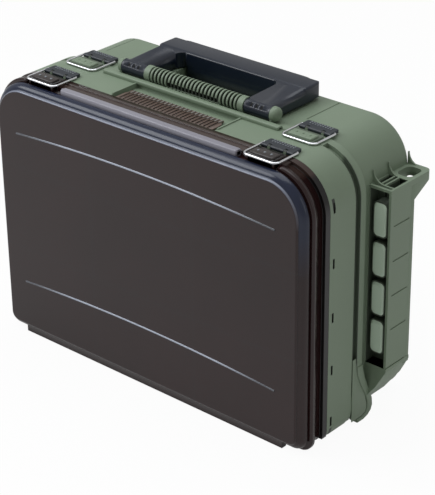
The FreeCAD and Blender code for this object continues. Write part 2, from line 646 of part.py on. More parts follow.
def comb():
    """Short ribs on the flange in front of the fins."""
    first = "-comb_pitch * (comb_count - 1) / 2 - comb_width / 2"
    body = box_body("comb", (first, f"{first} + comb_width"),
                    (back("groove_back"), back("pivot_back")), (f"{TOP} - 1", f"{TOP} + comb_rise"))
    doc.recompute()
    row = body.newObject("PartDesign::LinearPattern", "comb_pattern")
    row.Originals = [body.Tip]
    row.Direction = (plane_of(body, "X_Axis"), [""])
    bind(row, Length="comb_pitch * (comb_count - 1)", Occurrences="comb_count")
    body.Tip = row
    return body


def handle_mount():
    """The fins, the core and the bosses that carry the handle's pins."""
    span = "(fin_pitch * (fin_count - 1) / 2 + fin_width / 2)"
    y = back("pivot_back")
    inner_end = "(handle_half - handle_leg - boss_gap)"
    large = "barrel_radius + boss_extra"
    foot_y = (f"{y} - barrel_radius + 1", f"{y} + barrel_radius - 1")
    boss = [rod("boss_inner", (f"{inner_end} - boss_length", inner_end), y, "pivot_height", large),
            block("boss_inner_foot", (f"{inner_end} - boss_length", inner_end), foot_y,
                  (f"{TOP} - 1", "pivot_height")),
            rod("boss_core", (f"{span} - fin_width", f"{inner_end} - 1"), y, "pivot_height", "fin_core")]
    dome = box_body("dome", ("handle_half + boss_gap", "handle_half + boss_gap + dome_length"),
                    (f"{y} - barrel_radius", f"{y} + barrel_radius"),
                    ("pivot_height - barrel_radius", "pivot_height + barrel_radius"))
    add_fillet(dome, "dome_sides", "barrel_radius * 0.96", lambda edge: runs_along(edge, 0))
    doc.recompute()
    outer = dome.Tip.Shape.BoundBox.XMax
    add_fillet(dome, "dome_end", "dome_length * 0.7", lambda edge: at_level(edge, 0, outer))
    boss += [dome, block("dome_foot", ("handle_half + boss_gap", "handle_half + boss_gap + wall"),
                         foot_y, (f"{TOP} - 1", "pivot_height"))]
    sides = both_sides("boss_sides", fuse("boss_side", boss))
    core = rod("fin_core_rod", (f"-{span}", span), y, "pivot_height", "fin_core")
    notch = block("fin_notch", ("-notch_half", "notch_half"),
                  (f"{y} - barrel_radius - boss_extra - 1", f"{y} - fin_core - 0.5"),
                  (f"{TOP} + notch_sill", "pivot_height + 1"))
    return cut("handle_mount", fuse("mount_solid", [sides, core, fin_row(), comb()]), [notch])


def back_panel(rear):
    """A shallow panel in the tub's back wall, with upright ribs left standing in it."""
    side, low = "(tub_half - panel_inset)", "panel_inset"
    high = f"{TOP} - tub_drop - panel_inset"
    y = (f"{rear} - panel_deep", f"{rear} + 1")
    panel = rounded("panel", (f"-{side}", side), y, (low, high), 1, "panel_corner")
    first = f"-{side} * (panel_rib_count - 1) / (panel_rib_count + 1) - panel_rib_width / 2"
    ribs = box_body("panel_rib", (first, f"{first} + panel_rib_width"), (f"{y[0]} - 1", f"{y[1]} + 1"),
                    (f"{low} + panel_corner / 2", f"{high} - panel_corner / 2"))
    doc.recompute()
    row = ribs.newObject("PartDesign::LinearPattern", "panel_rib_row")
    row.Originals = [ribs.Tip]
    row.Direction = (plane_of(ribs, "X_Axis"), [""])
    bind(row, Length=f"2 * {side} * (panel_rib_count - 1) / (panel_rib_count + 1)",
         Occurrences="panel_rib_count")
    ribs.Tip = row
    return cut("back_panel", panel, [ribs])


def mould_lines():
    """Two shallow lines across the tub's top."""
    parts = []
    for name, x, y in (("right", "125.5", ("123", "182")), ("left", "-169", ("131", "179"))):
        parts.append(block(f"line_{name}", (f"{x} - line_width / 2", f"{x} + line_width / 2"),
                           (back(y[0]), back(y[1])), (f"{TOP} - tub_drop - line_deep", f"{TOP} + 1")))
    return parts


def tub_guides(rear):
    """Ribs inside the tub that hold the shelf's ends and the backs of its uprights."""
    inner = "tub_half - wall"
    shelf = guide_pair("guide_tub_row", "tub_row + divider_thick / 2", lambda name, span: both_sides(
        f"{name}_pair", block(name, (f"{inner} - guide_rise", f"{inner} + 1"),
                              (back("flange_end"), f"{rear} - back_round"), span)))
    posts = guide_pair("guide_tub_column", "tub_column", lambda name, span: both_sides(
        f"{name}_pair", block(name, span, (f"{rear} - back_round - guide_rise", rear),
                              ("tub_lower_corner", "tub_row - guide_rise * 3"))))
    return shelf + posts


def make_tub():
    """The rear shell: a deep tub with a rim flange, a finger well and side racks."""
    rear = back("case_depth")
    behind = block("tub_lobe_front", (f"-{HALF} - 1", f"{HALF} + 1"), (back("0"), TRAY_AXIS), ("-1", TOP))
    outer = [
        slab("tub_groove", "rim_inset", (TRAY_AXIS, back("groove_back")), "case_corner - rim_inset",
             "tray_lower_corner - rim_inset"),
        slab("tub_flange", "0", (back("groove_back"), back("flange_end")), "case_corner",
             "tray_lower_corner"),
        block("tub_rim_fill", ("-rim_fill_half", "rim_fill_half"), (TRAY_AXIS, back("groove_back")),
              (f"{TOP} - wall * 3", TOP)),
        tub_slab("tub_wall", "0", (back("flange_end - 2"), rear), "tub_corner", "tub_lower_corner",
                 "back_round"),
        cut("tub_lobe", lobe("tub_lobe_disc", ("lobe_inner - wall", HALF), "lobe_flange"), [behind]),
        handle_mount(),
    ]
    space = tub_slab("tub_space", "wall", (f"{TRAY_AXIS} - 1", f"{rear} - wall"),
                     "tub_corner - wall", "tub_lower_corner - wall", "back_round - wall")
    filling = [
        ledge("tub_ledge", TRAY_AXIS, "-2", "channel_half + wall"),
        block("tub_well_wall", ("-well_half - wall", "well_half + wall"),
              (back("well_start - wall"), back("well_end + wall")), (f"{TOP} - well_depth - wall", TOP)),
        lobe("tub_lobe_wall", ("lobe_inner - wall", HALF), "lobe_radius + lobe_gap + wall"),
    ]
    well = rounded("tub_well", ("-well_half", "well_half"), (back("well_start"), back("well_end")),
                   (f"{TOP} - well_depth", f"{TOP} + 1"), 2, "well_corner")
    shell = cut("tub_shell", fuse("tub_outer", outer), [
        cut("tub_cavity", space, filling + tub_guides(rear)), well,
        channel("tub_channel", TRAY_AXIS, "-2", "channel_half"), back_panel(rear),
        lobe("tub_lobe_hole", ("lobe_inner - lobe_gap", f"{HALF} + 1"), "lobe_radius + lobe_gap"),
        lobe("tub_lobe_groove", (f"{HALF} - rim_inset", f"{HALF} + 1"), "lobe_groove")]
        + mould_lines())
    extras = latch_ears("rear") + knuckles("tub_knuckle", TRAY_AXIS, False, 1)
    extras.append(both_sides("racks", rack()))
    pins = rod("handle_bores", ("-handle_half - 6", "handle_half + 6"), back("pivot_back"),
               "pivot_height", "handle_pin_radius + pin_play")
    keep = rod("handle_bore_keep", ("-handle_half + handle_leg + 6", "handle_half - handle_leg - 6"),
               back("pivot_back"), "pivot_height", "fin_core")
    return cut("rear_shell", fuse("tub_solid", [shell] + extras),
               hinge_bores("tub", TRAY_AXIS) + ear_bores("rear") + [cut("handle_bore_pair", pins, [keep])])


# ------------------------------------------------------------------ side rack
def rack():
    """The right-hand rack: a tower with pads in front, open cells on top and a strap lug."""
    inner, outer = "tub_half - wall / 2", "overall_width / 2"
    front, rear = back("rack_front"), back("rack_back")
    chan_x = ("tub_half + 1", f"{outer} - rack_wall")
    tower = box_body("rack_tower", (inner, outer), (front, rear), ("rack_bottom", "rack_top"))
    doc.recompute()
    ends = tower.Tip.Shape.BoundBox
    add_fillet(tower, "rack_foot_round", "lug_corner",
               lambda edge: at_level(edge, 0, ends.XMax) and at_level(edge, 2, ends.ZMin))
    recess = block("rack_channel", chan_x, (f"{front} - 1", f"{front} + channel_deep"),
                   ("channel_low", "rack_top - rack_wall"))
    cells = [
        block("rack_front_cell", chan_x, (f"{front} + rack_wall", f"{front} + rack_wall + front_cell"),
              ("rack_top - cell_depth", "rack_top + 1")),
        block("rack_inner_cell", (chan_x[0], f"{chan_x[0]} + 6"),
              (f"{front} + rack_wall + front_cell + rib_thick", f"{rear} - rib_thick"),
              ("rack_top - cell_depth / 2", "rack_top + 1")),
        block("rack_slit", (f"{chan_x[0]} + 8", f"{chan_x[0]} + 8 + slit_width"),
              (f"{front} + rack_wall + front_cell + rib_thick", f"{rear} - rib_thick"),
              ("rack_top - cell_depth", "rack_top + 1")),
        block("rack_outer_cell", (f"{chan_x[0]} + 10 + slit_width", chan_x[1]),
              (f"{front} + rack_wall + front_cell + rib_thick", f"{rear} - rib_thick"),
              ("rack_top - cell_depth / 2", "rack_top + 1")),
    ]
    grooves = [block(f"rack_groove_{i}", (f"{outer} - groove_deep", f"{outer} + 1"),
                     (f"{front} + 6", f"{rear} + 1"),
                     (f"groove_low + groove_pitch * {i}", f"groove_low + groove_pitch * {i} + groove_tall"))
               for i in range(4)]
    lug = box_body("lug_plate", (inner, outer), (f"{rear} - 1", back("lug_back")),
                   ("rack_top - lug_thick", "rack_top"))
    doc.recompute()
    far = lug.Tip.Shape.BoundBox
    add_fillet(lug, "lug_plate_corner", "lug_corner",
               lambda edge: at_level(edge, 0, far.XMax) and at_level(edge, 1, far.YMax))
    eye = rounded("lug_eye", (f"{chan_x[0]} + 3", f"{outer} - 5"), (f"{rear} + 4", back("lug_back - 6")),
                  ("rack_top - lug_thick - 1", "rack_top + 1"), 2, "lug_corner * 0.7")
    sweeps = [sweep_rib(f"rack_sweep_{i}", y) for i, y in enumerate(
        (f"{front} + rack_wall + front_cell", f"{rear} - rib_thick", back("lug_back - rib_thick")))]
    solid = cut("rack_open", tower, [recess] + cells + grooves)
    pads = rack_pads(chan_x, front)
    return fuse("rack", [solid, pads, cut("lug", lug, [eye])] + sweeps)


def rack_pads(span, front):
    """The four rounded pads that stand in the tower's front channel."""
    body = box_body("pad", (f"{span[0]} + pad_gap", f"{span[1]} - pad_gap"),
                    (f"{front} + pad_set_back", f"{front} + channel_deep + 1"),
                    ("pad_low", "pad_low + pad_height"))
    add_fillet(body, "pad_corners", "pad_corner", lambda edge: runs_along(edge, 1))
    doc.recompute()
    column = body.newObject("PartDesign::LinearPattern", "pad_column")
    column.Originals = body.Group[:2]
    column.Direction = (plane_of(body, "Z_Axis"), [""])
    bind(column, Length="pad_pitch * (pad_count - 1)", Occurrences="pad_count")
    body.Tip = column
    return body


def sweep_rib(name, y):
    """A rib whose top sweeps up to the tub's wall in a hollow quarter arc."""
    rise = "sweep_rise"
    plate = block(f"{name}_plate", ("tub_half - 1", f"tub_half + {rise}"), (y, f"{y} + rib_thick"),
                  ("rack_top - 2", f"rack_top + {rise}"))
    scoop = doc.addObject("Part::Cylinder", f"{name}_scoop")
    scoop.Placement = FreeCAD.Placement(FreeCAD.Vector(), ALONG_Y)
    bind(scoop, Radius=rise, Height="rib_thick + 2", Placement__Base__x=f"tub_half + {rise}",
         Placement__Base__y=f"{y} - 1", Placement__Base__z=f"rack_top + {rise}")
    return cut(name, plate, [scoop])


# ------------------------------------------------------------------ carrying handle
def make_handle():
    """The folded carrying handle: two barrels, two legs and a thick grip with a skirt."""
    y = back("pivot_back")
    low = f"{TOP} + handle_clear"
    points = [(y, low), (back("handle_back"), low), (back("handle_back"), "handle_top"),
              (y, "pivot_height + barrel_radius")]
    body = polygon_pad("handle_block", "YZ_Plane", "-handle_half", "2 * handle_half", points)
    doc.recompute()
    ends = body.Tip.Shape.BoundBox
    shoulder = VALUE["pivot_height"] + VALUE["barrel_radius"] - 0.1
    add_fillet(body, "handle_corners", "handle_corner",
               lambda edge: runs_along(edge, 2) and at_level(edge, 1, ends.YMax))
    add_fillet(body, "handle_crown", "handle_crown",
               lambda edge: edge.BoundBox.ZMin > shoulder and not at_level(edge, 1, ends.YMin))
    add_fillet(body, "handle_under", "handle_under",
               lambda edge: at_level(edge, 2, ends.ZMin) and not at_level(edge, 1, ends.YMin))
    barrel = rod("handle_barrels", ("-handle_half", "handle_half"), y, "pivot_height", "barrel_radius")
    opening = rounded("handle_opening", ("-handle_half + handle_leg", "handle_half - handle_leg"),
                      (f"{y} - 30", back("handle_grip_front")), ("skirt_low - 5", "handle_top + 5"),
                      2, "well_corner")
    skirt = rounded("grip_skirt", ("-well_half + skirt_play", "well_half - skirt_play"),
                    (back("handle_grip_front"), back("handle_grip_front + skirt_thick")),
                    ("skirt_low", f"{low} + handle_under * 2"), 2, "edge_round")
    ends = [f"handle_half - grip_slot_margin - grip_slot_pitch * {i}" for i in range(3)]
    slots = [block(f"grip_slot_{i}", (f"{end} - grip_slot_width", end),
                   (f"{y} - barrel_radius - 1", f"{y} - grip_slot_core"),
                   ("pivot_height + grip_slot_core", "pivot_height + barrel_radius + 1"))
             for i, end in enumerate(ends)]
    bore = rod("handle_bore", ("-handle_half - 1", "handle_half + 1"), y, "pivot_height",
               "handle_pin_radius + pin_play")
    return cut("handle", fuse("handle_solid", [body, barrel, skirt]),
               [opening, both_sides("grip_slots", fuse("grip_slot_side", slots)), bore])


def handle_pins():
    side = rod("handle_pin", ("handle_half - handle_leg - boss_gap - 5", "handle_half + 5"),
               back("pivot_back"), "pivot_height", "handle_pin_radius")
    return both_sides("handle_pins", side)


# ------------------------------------------------------------------ dividers
def tray_bands():
    """The heights of the tray's three rows of compartments, between its shelves."""
    floor = "channel_height + wall + divider_play"
    ceiling = f"{TOP} - recess_depth - wall - divider_play"
    over = "divider_thick + divider_play"
    return {"low": (floor, "tray_row_low - divider_play"),
            "middle": (f"tray_row_low + {over}", "tray_row_high - divider_play"),
            "high": (f"tray_row_high + {over}", ceiling)}


def tray_dividers():
    """Two long shelves and two uprights in each of the three rows they make."""
    inner = f"({HALF} - wall - divider_play)"
    y = (f"{back('lid_depth')} + 3", f"{TRAY_AXIS} - seam_gap - wall - divider_play")
    made = {}
    for row, z in {"lower": "tray_row_low", "upper": "tray_row_high"}.items():
        height = (z, f"{z} + divider_thick")
        made[f"tray_shelf_{row}"] = block(f"shelf_{row}", (f"-{inner}", inner), y, height)
    for band, z in tray_bands().items():
        for side, sign in (("left", "-"), ("right", "")):
            x = f"{sign}tray_column"
            span = (f"{x} - divider_thick / 2", f"{x} + divider_thick / 2")
            made[f"tray_upright_{band}_{side}"] = block(f"upright_{band}_{side}", span, y, z)
    return made


def tub_dividers():
    """One shelf across the tub and two uprights under it."""
    inner = "(tub_half - wall - divider_play)"
    y = (f"{TRAY_AXIS} + 4", f"{back('case_depth')} - back_round - divider_play")
    floor = "channel_height + wall + divider_play"
    height = ("tub_row", "tub_row + divider_thick")
    made = {"tub_shelf": block("tub_shelf_plate", (f"-{inner}", inner), y, height)}
    post = (floor, "tub_row - divider_play")
    for side, sign in (("left", "-"), ("right", "")):
        x = f"{sign}tub_column"
        span = (f"{x} - divider_thick / 2", f"{x} + divider_thick / 2")
        made[f"tub_upright_{side}"] = block(f"tub_upright_plate_{side}", span, y, post)
    return made


# ------------------------------------------------------------------ the whole case
finish(make_tub(), "rear_shell")
finish(make_tray(), "front_shell")
finish(make_lid(), "front_lid")
finish(make_handle(), "handle")
finish(handle_pins(), "handle_pins")
finish(hinge_pins("lid_hinge_pins", LID_AXIS), "lid_hinge_pins")
finish(hinge_pins("tray_hinge_pins", TRAY_AXIS), "shell_hinge_pins")
for row in PIVOT:
    finish(lever_pins(row), f"{row}_lever_pins")
    for side in SIDE:
        finish(lever(row, side), f"lever_{row}_{side}")
        finish(bail(row, side), f"bail_{row}_{side}")
for name, plate in {**tray_dividers(), **tub_dividers()}.items():
    finish(plate, name)

doc.recompute()
failed = [item.Name for item in doc.Objects if {"Invalid", "Error"} & set(item.State)]
if failed:
    raise RuntimeError(f"objects that failed: {failed}")
for item in FINISHED:
    if item.Shape.isNull() or not item.Shape.isValid():
        raise RuntimeError(f"{item.Label} has no valid shape")

os.makedirs("parts", exist_ok=True)
for item in FINISHED:
    item.Shape.exportStep(f"parts/{item.Label}.step")
    print(f"{item.Label}: {len(item.Shape.Solids)} solids, {item.Shape.Volume / 1000:.1f} cm3")
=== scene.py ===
"""The looks of a two-sided tackle case that stands on its long edge.

The case is a green tub and a green tray of moulded plastic, a lid of clear smoke plastic,
a dark folding handle and four draw latches. Meshes are in metres, in the frame of the
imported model: +X to the right, +Y to the back and +Z up. Named sizes are in millimetres,
in the order width, depth behind the lid's front face, and height.
"""
import math

import bmesh
import bpy
from mathutils import Euler, Matrix, Vector


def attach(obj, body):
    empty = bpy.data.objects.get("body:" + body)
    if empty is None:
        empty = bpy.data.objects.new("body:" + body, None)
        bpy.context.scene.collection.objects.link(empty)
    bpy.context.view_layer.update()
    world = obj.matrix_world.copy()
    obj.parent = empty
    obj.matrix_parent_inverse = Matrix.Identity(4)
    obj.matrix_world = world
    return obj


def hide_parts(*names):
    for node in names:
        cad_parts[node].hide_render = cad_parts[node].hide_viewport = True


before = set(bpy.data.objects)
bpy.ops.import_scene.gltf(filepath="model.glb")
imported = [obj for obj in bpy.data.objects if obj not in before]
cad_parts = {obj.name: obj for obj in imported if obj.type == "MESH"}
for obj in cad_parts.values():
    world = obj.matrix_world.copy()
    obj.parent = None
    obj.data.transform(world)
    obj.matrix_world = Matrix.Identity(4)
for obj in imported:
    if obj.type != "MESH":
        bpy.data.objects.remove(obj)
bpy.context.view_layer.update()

# ---------------------------------------------------------------------- studio
# A white sweep, one large soft lamp over the case, one high on the left and a weak one on
# the right, and a long lens that looks down on the case from its front right corner.
CAMERA_PLACE = Vector((1.2068, -1.3311, 1.0662))
CAMERA_TURN, CAMERA_DIP, CAMERA_ROLL = 41.7, 27.0, -0.82
LENS_MM, SENSOR_MM = 133.75, 36.0
VIEW_HEIGHT = 495
CAMERA_SHIFT = (4.5 / VIEW_HEIGHT, -11.5 / VIEW_HEIGHT)

camera = bpy.data.objects.new("camera", bpy.data.cameras.new("camera"))
bpy.context.scene.collection.objects.link(camera)
aim = Euler((math.radians(90 - CAMERA_DIP), 0, math.radians(CAMERA_TURN))).to_matrix()
aim = aim @ Matrix.Rotation(math.radians(CAMERA_ROLL), 3, "Z")
camera.matrix_world = Matrix.Translation(CAMERA_PLACE) @ aim.to_4x4()
camera.data.lens = LENS_MM
camera.data.sensor_width = SENSOR_MM
camera.data.shift_x, camera.data.shift_y = CAMERA_SHIFT
bpy.context.scene.camera = camera
bpy.context.scene.view_settings.view_transform = "Standard"

SOFTBOXES = {
    # name: (place, aimed at, width, height, watts)
    "lamp_over": ((-0.2, 0.1, 2.0), (0, 0, 0.2), 1.8, 1.4, 17),
    "lamp_left": ((-1.5, -1.15, 1.85), (0, 0, 0.2), 1.5, 1.3, 30),
    "lamp_right": ((2.2, 0.3, 1.0), (0.2, 0, 0.15), 0.5, 1.4, 2.5),
}
LAMP_COLOUR = (0.94, 0.97, 1.0)
for name, (place, target, width, height, watts) in SOFTBOXES.items():
    lamp = bpy.data.lights.new(name, "AREA")
    lamp.color = LAMP_COLOUR
    lamp.shape = "RECTANGLE"
    lamp.size, lamp.size_y, lamp.energy = width, height, watts
    holder = bpy.data.objects.new(name, lamp)
    bpy.context.scene.collection.objects.link(holder)
    holder.location = place
    aimed = Vector(target) - Vector(place)
    holder.rotation_euler = aimed.to_track_quat("-Z", "Y").to_euler()


class Wire:
    """A socket of a node tree; arithmetic on it adds Math nodes."""

    def __init__(self, graph, socket):
        self.graph = graph
        self.socket = socket

    def calc(self, operation, *others, clamp=False):
        """A Math node on this wire and on further values."""
        settings = {"operation": operation, "use_clamp": clamp}
        return self.graph.node("ShaderNodeMath", settings, self, *others)

    def __add__(self, other):
        return self.calc("ADD", other)

    def __sub__(self, other):
        return self.calc("SUBTRACT", other)

    def __rsub__(self, other):
        return self.graph.node("ShaderNodeMath", {"operation": "SUBTRACT"}, other, self)

    def __mul__(self, other):
        return self.calc("MULTIPLY", other)

    def __truediv__(self, other):
        return self.calc("DIVIDE", other)

    def __abs__(self):
        return self.calc("ABSOLUTE")

    __radd__ = __add__
    __rmul__ = __mul__

    def below(self, edge, soft):
        """1 where the value is under an edge and 0 over it, with a soft step between."""
        return ((edge - self) / soft + 0.5).calc("MULTIPLY", 1.0, clamp=True)

    def within(self, low, high, soft):
        """1 between two values and 0 outside them, with soft steps."""
        return self.below(high, soft) * (1 - self.below(low, soft))

    def either(self, other):
        """The larger of two masks."""
        return self.calc("MAXIMUM", other)


class Graph:
    """A node tree that is being built."""

    def __init__(self, tree):
        self.tree = tree
        self.tree.nodes.clear()

    def node(self, kind, settings=None, *values, out=0, **named):
        """Add a node: its settings first, then the values or links of its sockets."""
        item = self.tree.nodes.new(kind)
        for key, value in (settings or {}).items():
            setattr(item, key, value)
        pairs = list(enumerate(values)) + [(k.replace("_", " "), v) for k, v in named.items()]
        for key, value in pairs:
            if isinstance(value, Wire):
                self.tree.links.new(value.socket, item.inputs[key])
            else:
                item.inputs[key].default_value = value
        return Wire(self, item.outputs[out]) if len(item.outputs) else item

    def mix(self, factor, first, second):
        """Blend two colours."""
        item = self.tree.nodes.new("ShaderNodeMix")
        item.data_type = "RGBA"
        for number, value in ((0, factor), (6, first), (7, second)):
            if isinstance(value, Wire):
                self.tree.links.new(value.socket, item.inputs[number])
            else:
                item.inputs[number].default_value = value
        return Wire(self, item.outputs[2])


class Finish(Graph):
    """A material or a world."""

    def __init__(self, name, owner=None):
        self.owner = owner or bpy.data.materials.new(name)
        self.owner.use_nodes = True
        super().__init__(self.owner.node_tree)

    def close(self, shader, kind="ShaderNodeOutputMaterial"):
        """Link the last shader to the output, and give back the material or world."""
        self.node(kind, None, shader)
        return self.owner


def tone(red, green, blue, times=1.0):
    """A colour from its 0 to 255 screen values, made darker or lighter by a factor."""
    screen = [min(255, times * v) for v in (red, green, blue)]
    return tuple(((v / 255 + 0.055) / 1.055) ** 2.4 if v > 10 else v / 255 / 12.92
                 for v in screen) + (1.0,)


def shown_white(finish, to_camera, in_gloss):
    """How much of a backdrop is plain white: straight to the camera, and in reflections."""
    camera_ray = finish.node("ShaderNodeLightPath", out="Is Camera Ray")
    glossy_ray = finish.node("ShaderNodeLightPath", out="Is Glossy Ray")
    return camera_ray * to_camera + glossy_ray * in_gloss


WHITE = (1, 1, 1, 1)
SKY_COLOUR, SKY_STRENGTH, SKY_WHITE = (232, 232, 228), 0.42, (1.0, 0.25)
SWEEP_SIZE, SWEEP_COLOUR, SWEEP_WHITE = 8, (238, 238, 238), (0.95, 0.4)

sky = Finish("sky", bpy.data.worlds.new("sky"))
bpy.context.scene.world = sky.owner
light = sky.node("ShaderNodeBackground", None, tone(*SKY_COLOUR), SKY_STRENGTH)
white = sky.node("ShaderNodeBackground", None, WHITE, 1.0)
sky.close(sky.node("ShaderNodeMixShader", None, shown_white(sky, *SKY_WHITE), light, white),
          "ShaderNodeOutputWorld")

bpy.ops.mesh.primitive_plane_add(size=SWEEP_SIZE)
floor = bpy.context.object
floor.name = "floor"
sweep = Finish("white_sweep")
paper = sweep.node("ShaderNodeBsdfDiffuse", None, tone(*SWEEP_COLOUR))
glow = sweep.node("ShaderNodeEmission", None, WHITE, 1.0)
floor.data.materials.append(sweep.close(sweep.node(
    "ShaderNodeMixShader", None, shown_white(sweep, *SWEEP_WHITE), paper, glow)))

# ---------------------------------------------------------------------- tub
# The rear shell is a deep tub moulded in one tough satin plastic of a greyish moss green,
# with the handle's bosses, ring fins, hinge knuckles and two side racks in the same shot.
MM = 0.001
LID_FRONT = -0.093                  # y of the lid's front face; depths are counted from it
GREEN, GREEN_PALE = (116, 131, 111), (140, 154, 135)
GREEN_ROUGH, GREEN_GRAIN, GREEN_GRAIN_SIZE = 0.5, 0.3, 1100
EDGE_ROUND, EDGE_WEAR_AND_SHEEN = 0.6 * MM, 0.55
# The last factor darkens a plastic's colour where shade is painted.
DARKEST, LIGHTEST, PAINTED_SHADE = 0.94, 1.06, 0.3           # factors on a plastic's colour


def depths(finish):
    """Object coordinates in millimetres: x, distance behind the lid's front, and height."""
    place = finish.node("ShaderNodeTexCoord", out="Object")
    x, y, z = (finish.node("ShaderNodeSeparateXYZ", None, place, out=i) for i in range(3))
    return x * (1 / MM), (y - LID_FRONT) * (1 / MM), z * (1 / MM)


def edge_wear_and_sheen(finish, rounded, strength):
    """1 on sharp outer edges and 0 on flats, from how far rounding turns the surface."""
    flat = finish.node("ShaderNodeNewGeometry", out="Normal")
    same = finish.node("ShaderNodeVectorMath", {"operation": "DOT_PRODUCT"}, rounded, flat,
                       out="Value")
    return ((1 - same) * strength).calc("MINIMUM", 1.0)


def moulded(name, colour, pale, rough, grain, grain_size, coat=0.0, wear=2.0, shaded=None):
    """Moulded plastic: etched grain, slow changes of shade, and edges paled by wear and
    painted sheen.

    shaded is an optional function that gives a mask of painted shade, where the colour
    darkens.
    """
    finish = Finish(name)
    place = finish.node("ShaderNodeTexCoord", out="Object")
    fine = finish.node("ShaderNodeTexNoise", None, place, Scale=grain_size, Detail=3.0,
                       Roughness=0.6)
    pits = finish.node("ShaderNodeTexVoronoi", None, place, Scale=grain_size * 0.8)
    wide = finish.node("ShaderNodeTexNoise", None, place, Scale=9.0, Detail=2.0)
    streak = finish.node("ShaderNodeTexNoise", None, place, Scale=38.0, Detail=4.0,
                         Roughness=0.65)
    edge = finish.node("ShaderNodeBevel", {"samples": 4}, EDGE_ROUND)
    shade = finish.mix(wide * 0.7 + streak * 0.3, tone(*colour, times=DARKEST),
                       tone(*colour, times=LIGHTEST))
    # Paler sharp edges: partly wear, partly a painted sheen.
    shade = finish.mix(edge_wear_and_sheen(finish, edge, wear) * EDGE_WEAR_AND_SHEEN, shade, tone(*pale))
    if shaded:
        # Painted shade: darken the colour where the shaded mask is 1.
        shade = finish.mix(shaded(finish), shade, tone(*colour, times=PAINTED_SHADE))
    bump = finish.node("ShaderNodeBump", None, Strength=grain, Distance=0.2 * MM,
                       Height=fine * 0.6 + pits * 0.4, Normal=edge)
    shader = finish.node("ShaderNodeBsdfPrincipled", None, Base_Color=shade,
                         Roughness=(wide - 0.5) * 0.12 + (streak - 0.5) * 0.1 + rough,
                         Coat_Weight=coat, Coat_Roughness=0.2, Normal=bump)
    return finish.close(shader)


def green_plastic(name, shaded=None):
    """The case's own green, for one moulding."""
    return moulded(name, GREEN, GREEN_PALE, GREEN_ROUGH, GREEN_GRAIN, GREEN_GRAIN_SIZE,
                   shaded=shaded)


def dress(material, *nodes):
    """Give CAD nodes a material in place of their own."""
    for node in nodes:
        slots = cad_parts[node].data.materials
        slots.clear()
        slots.append(material)


HANDLE_AXIS = (95.0, 324.5)                         # depth and height
FIN_CORE, FIN_HALF, FIN_SHADE = 8.0, 61.5, 0.9
SEAM, SEAM_FROM, SEAM_SHADE = (85.0, 88.9), 200.0, 0.7
CHANNEL, CHANNEL_SHADE = ((212.0, 238.6), (116.6, 147.0), (60.5, 267.5)), 0.75
LATCH_STRIP, LATCH_FLOOR = (133.0, 175.0), 318.2
REAR_EARS = (96.5, 107.5)


def from_axis(y, z):
    """Distance from the line that the handle turns on."""
    off, up = y - HANDLE_AXIS[0], z - HANDLE_AXIS[1]
    return (off * off + up * up).calc("SQRT")


def latch_strip(x, z):
    """1 on what stands up in line with the latches."""
    return abs(x).within(*LATCH_STRIP, soft=0.5) * (1 - z.below(LATCH_FLOOR, soft=0.3))


def tub_shade(finish):
    """Painted shade: fins' gaps, racks' front channels, the seam's sides and the rear ears.
    """
    x, y, z = depths(finish)
    fins = from_axis(y, z).below(FIN_CORE, soft=1.0) * abs(x).below(FIN_HALF, soft=0.5)
    across, deep, high = CHANNEL
    channel = (abs(x).within(*across, soft=0.4) * y.within(*deep, soft=0.5)
               * z.within(*high, soft=0.8))
    seam = y.within(*SEAM, soft=0.5) * (1 - abs(x).below(SEAM_FROM, soft=4.0))
    ears = latch_strip(x, z) * y.within(*REAR_EARS, soft=0.4)
    mask = (fins * FIN_SHADE).either(channel * CHANNEL_SHADE)
    return mask.either(seam * SEAM_SHADE).either(ears)


green = green_plastic("moss_green")
# The tub's green carries painted shade in the fins' gaps, the racks' channels, the seam and
# on the rear ears.
dress(green_plastic("tub_green", tub_shade), "rear_shell")

# ---------------------------------------------------------------------- rack pads
# Each rack's front channel holds four square pads with a raised bevelled face, moulded
# with the tub, which give a grip and keep the rack stiff.
SIDES = (("left", -1), ("right", 1))
PAD_FACE = (15.4, 37.4)                             # across and up
PAD_RISE, PAD_ROUND, PAD_BEVEL = 1.5, 4.5, 2.6
PAD_MIDDLE, PAD_FRONT = 225.25, 118.5
PAD_FIRST, PAD_PITCH, PAD_COUNT = 96.7, 45.4, 4


def at(x, y, z):
    """A point in metres, from a width, a depth behind the lid's front and a height."""
    return (x * MM, LID_FRONT + y * MM, z * MM)


def baked(piece):
    """Turn a piece with its modifiers into a plain mesh."""
    depsgraph = bpy.context.evaluated_depsgraph_get()
    mesh = bpy.data.meshes.new_from_object(piece.evaluated_get(depsgraph))
    piece.modifiers.clear()
    piece.data = mesh
    return piece


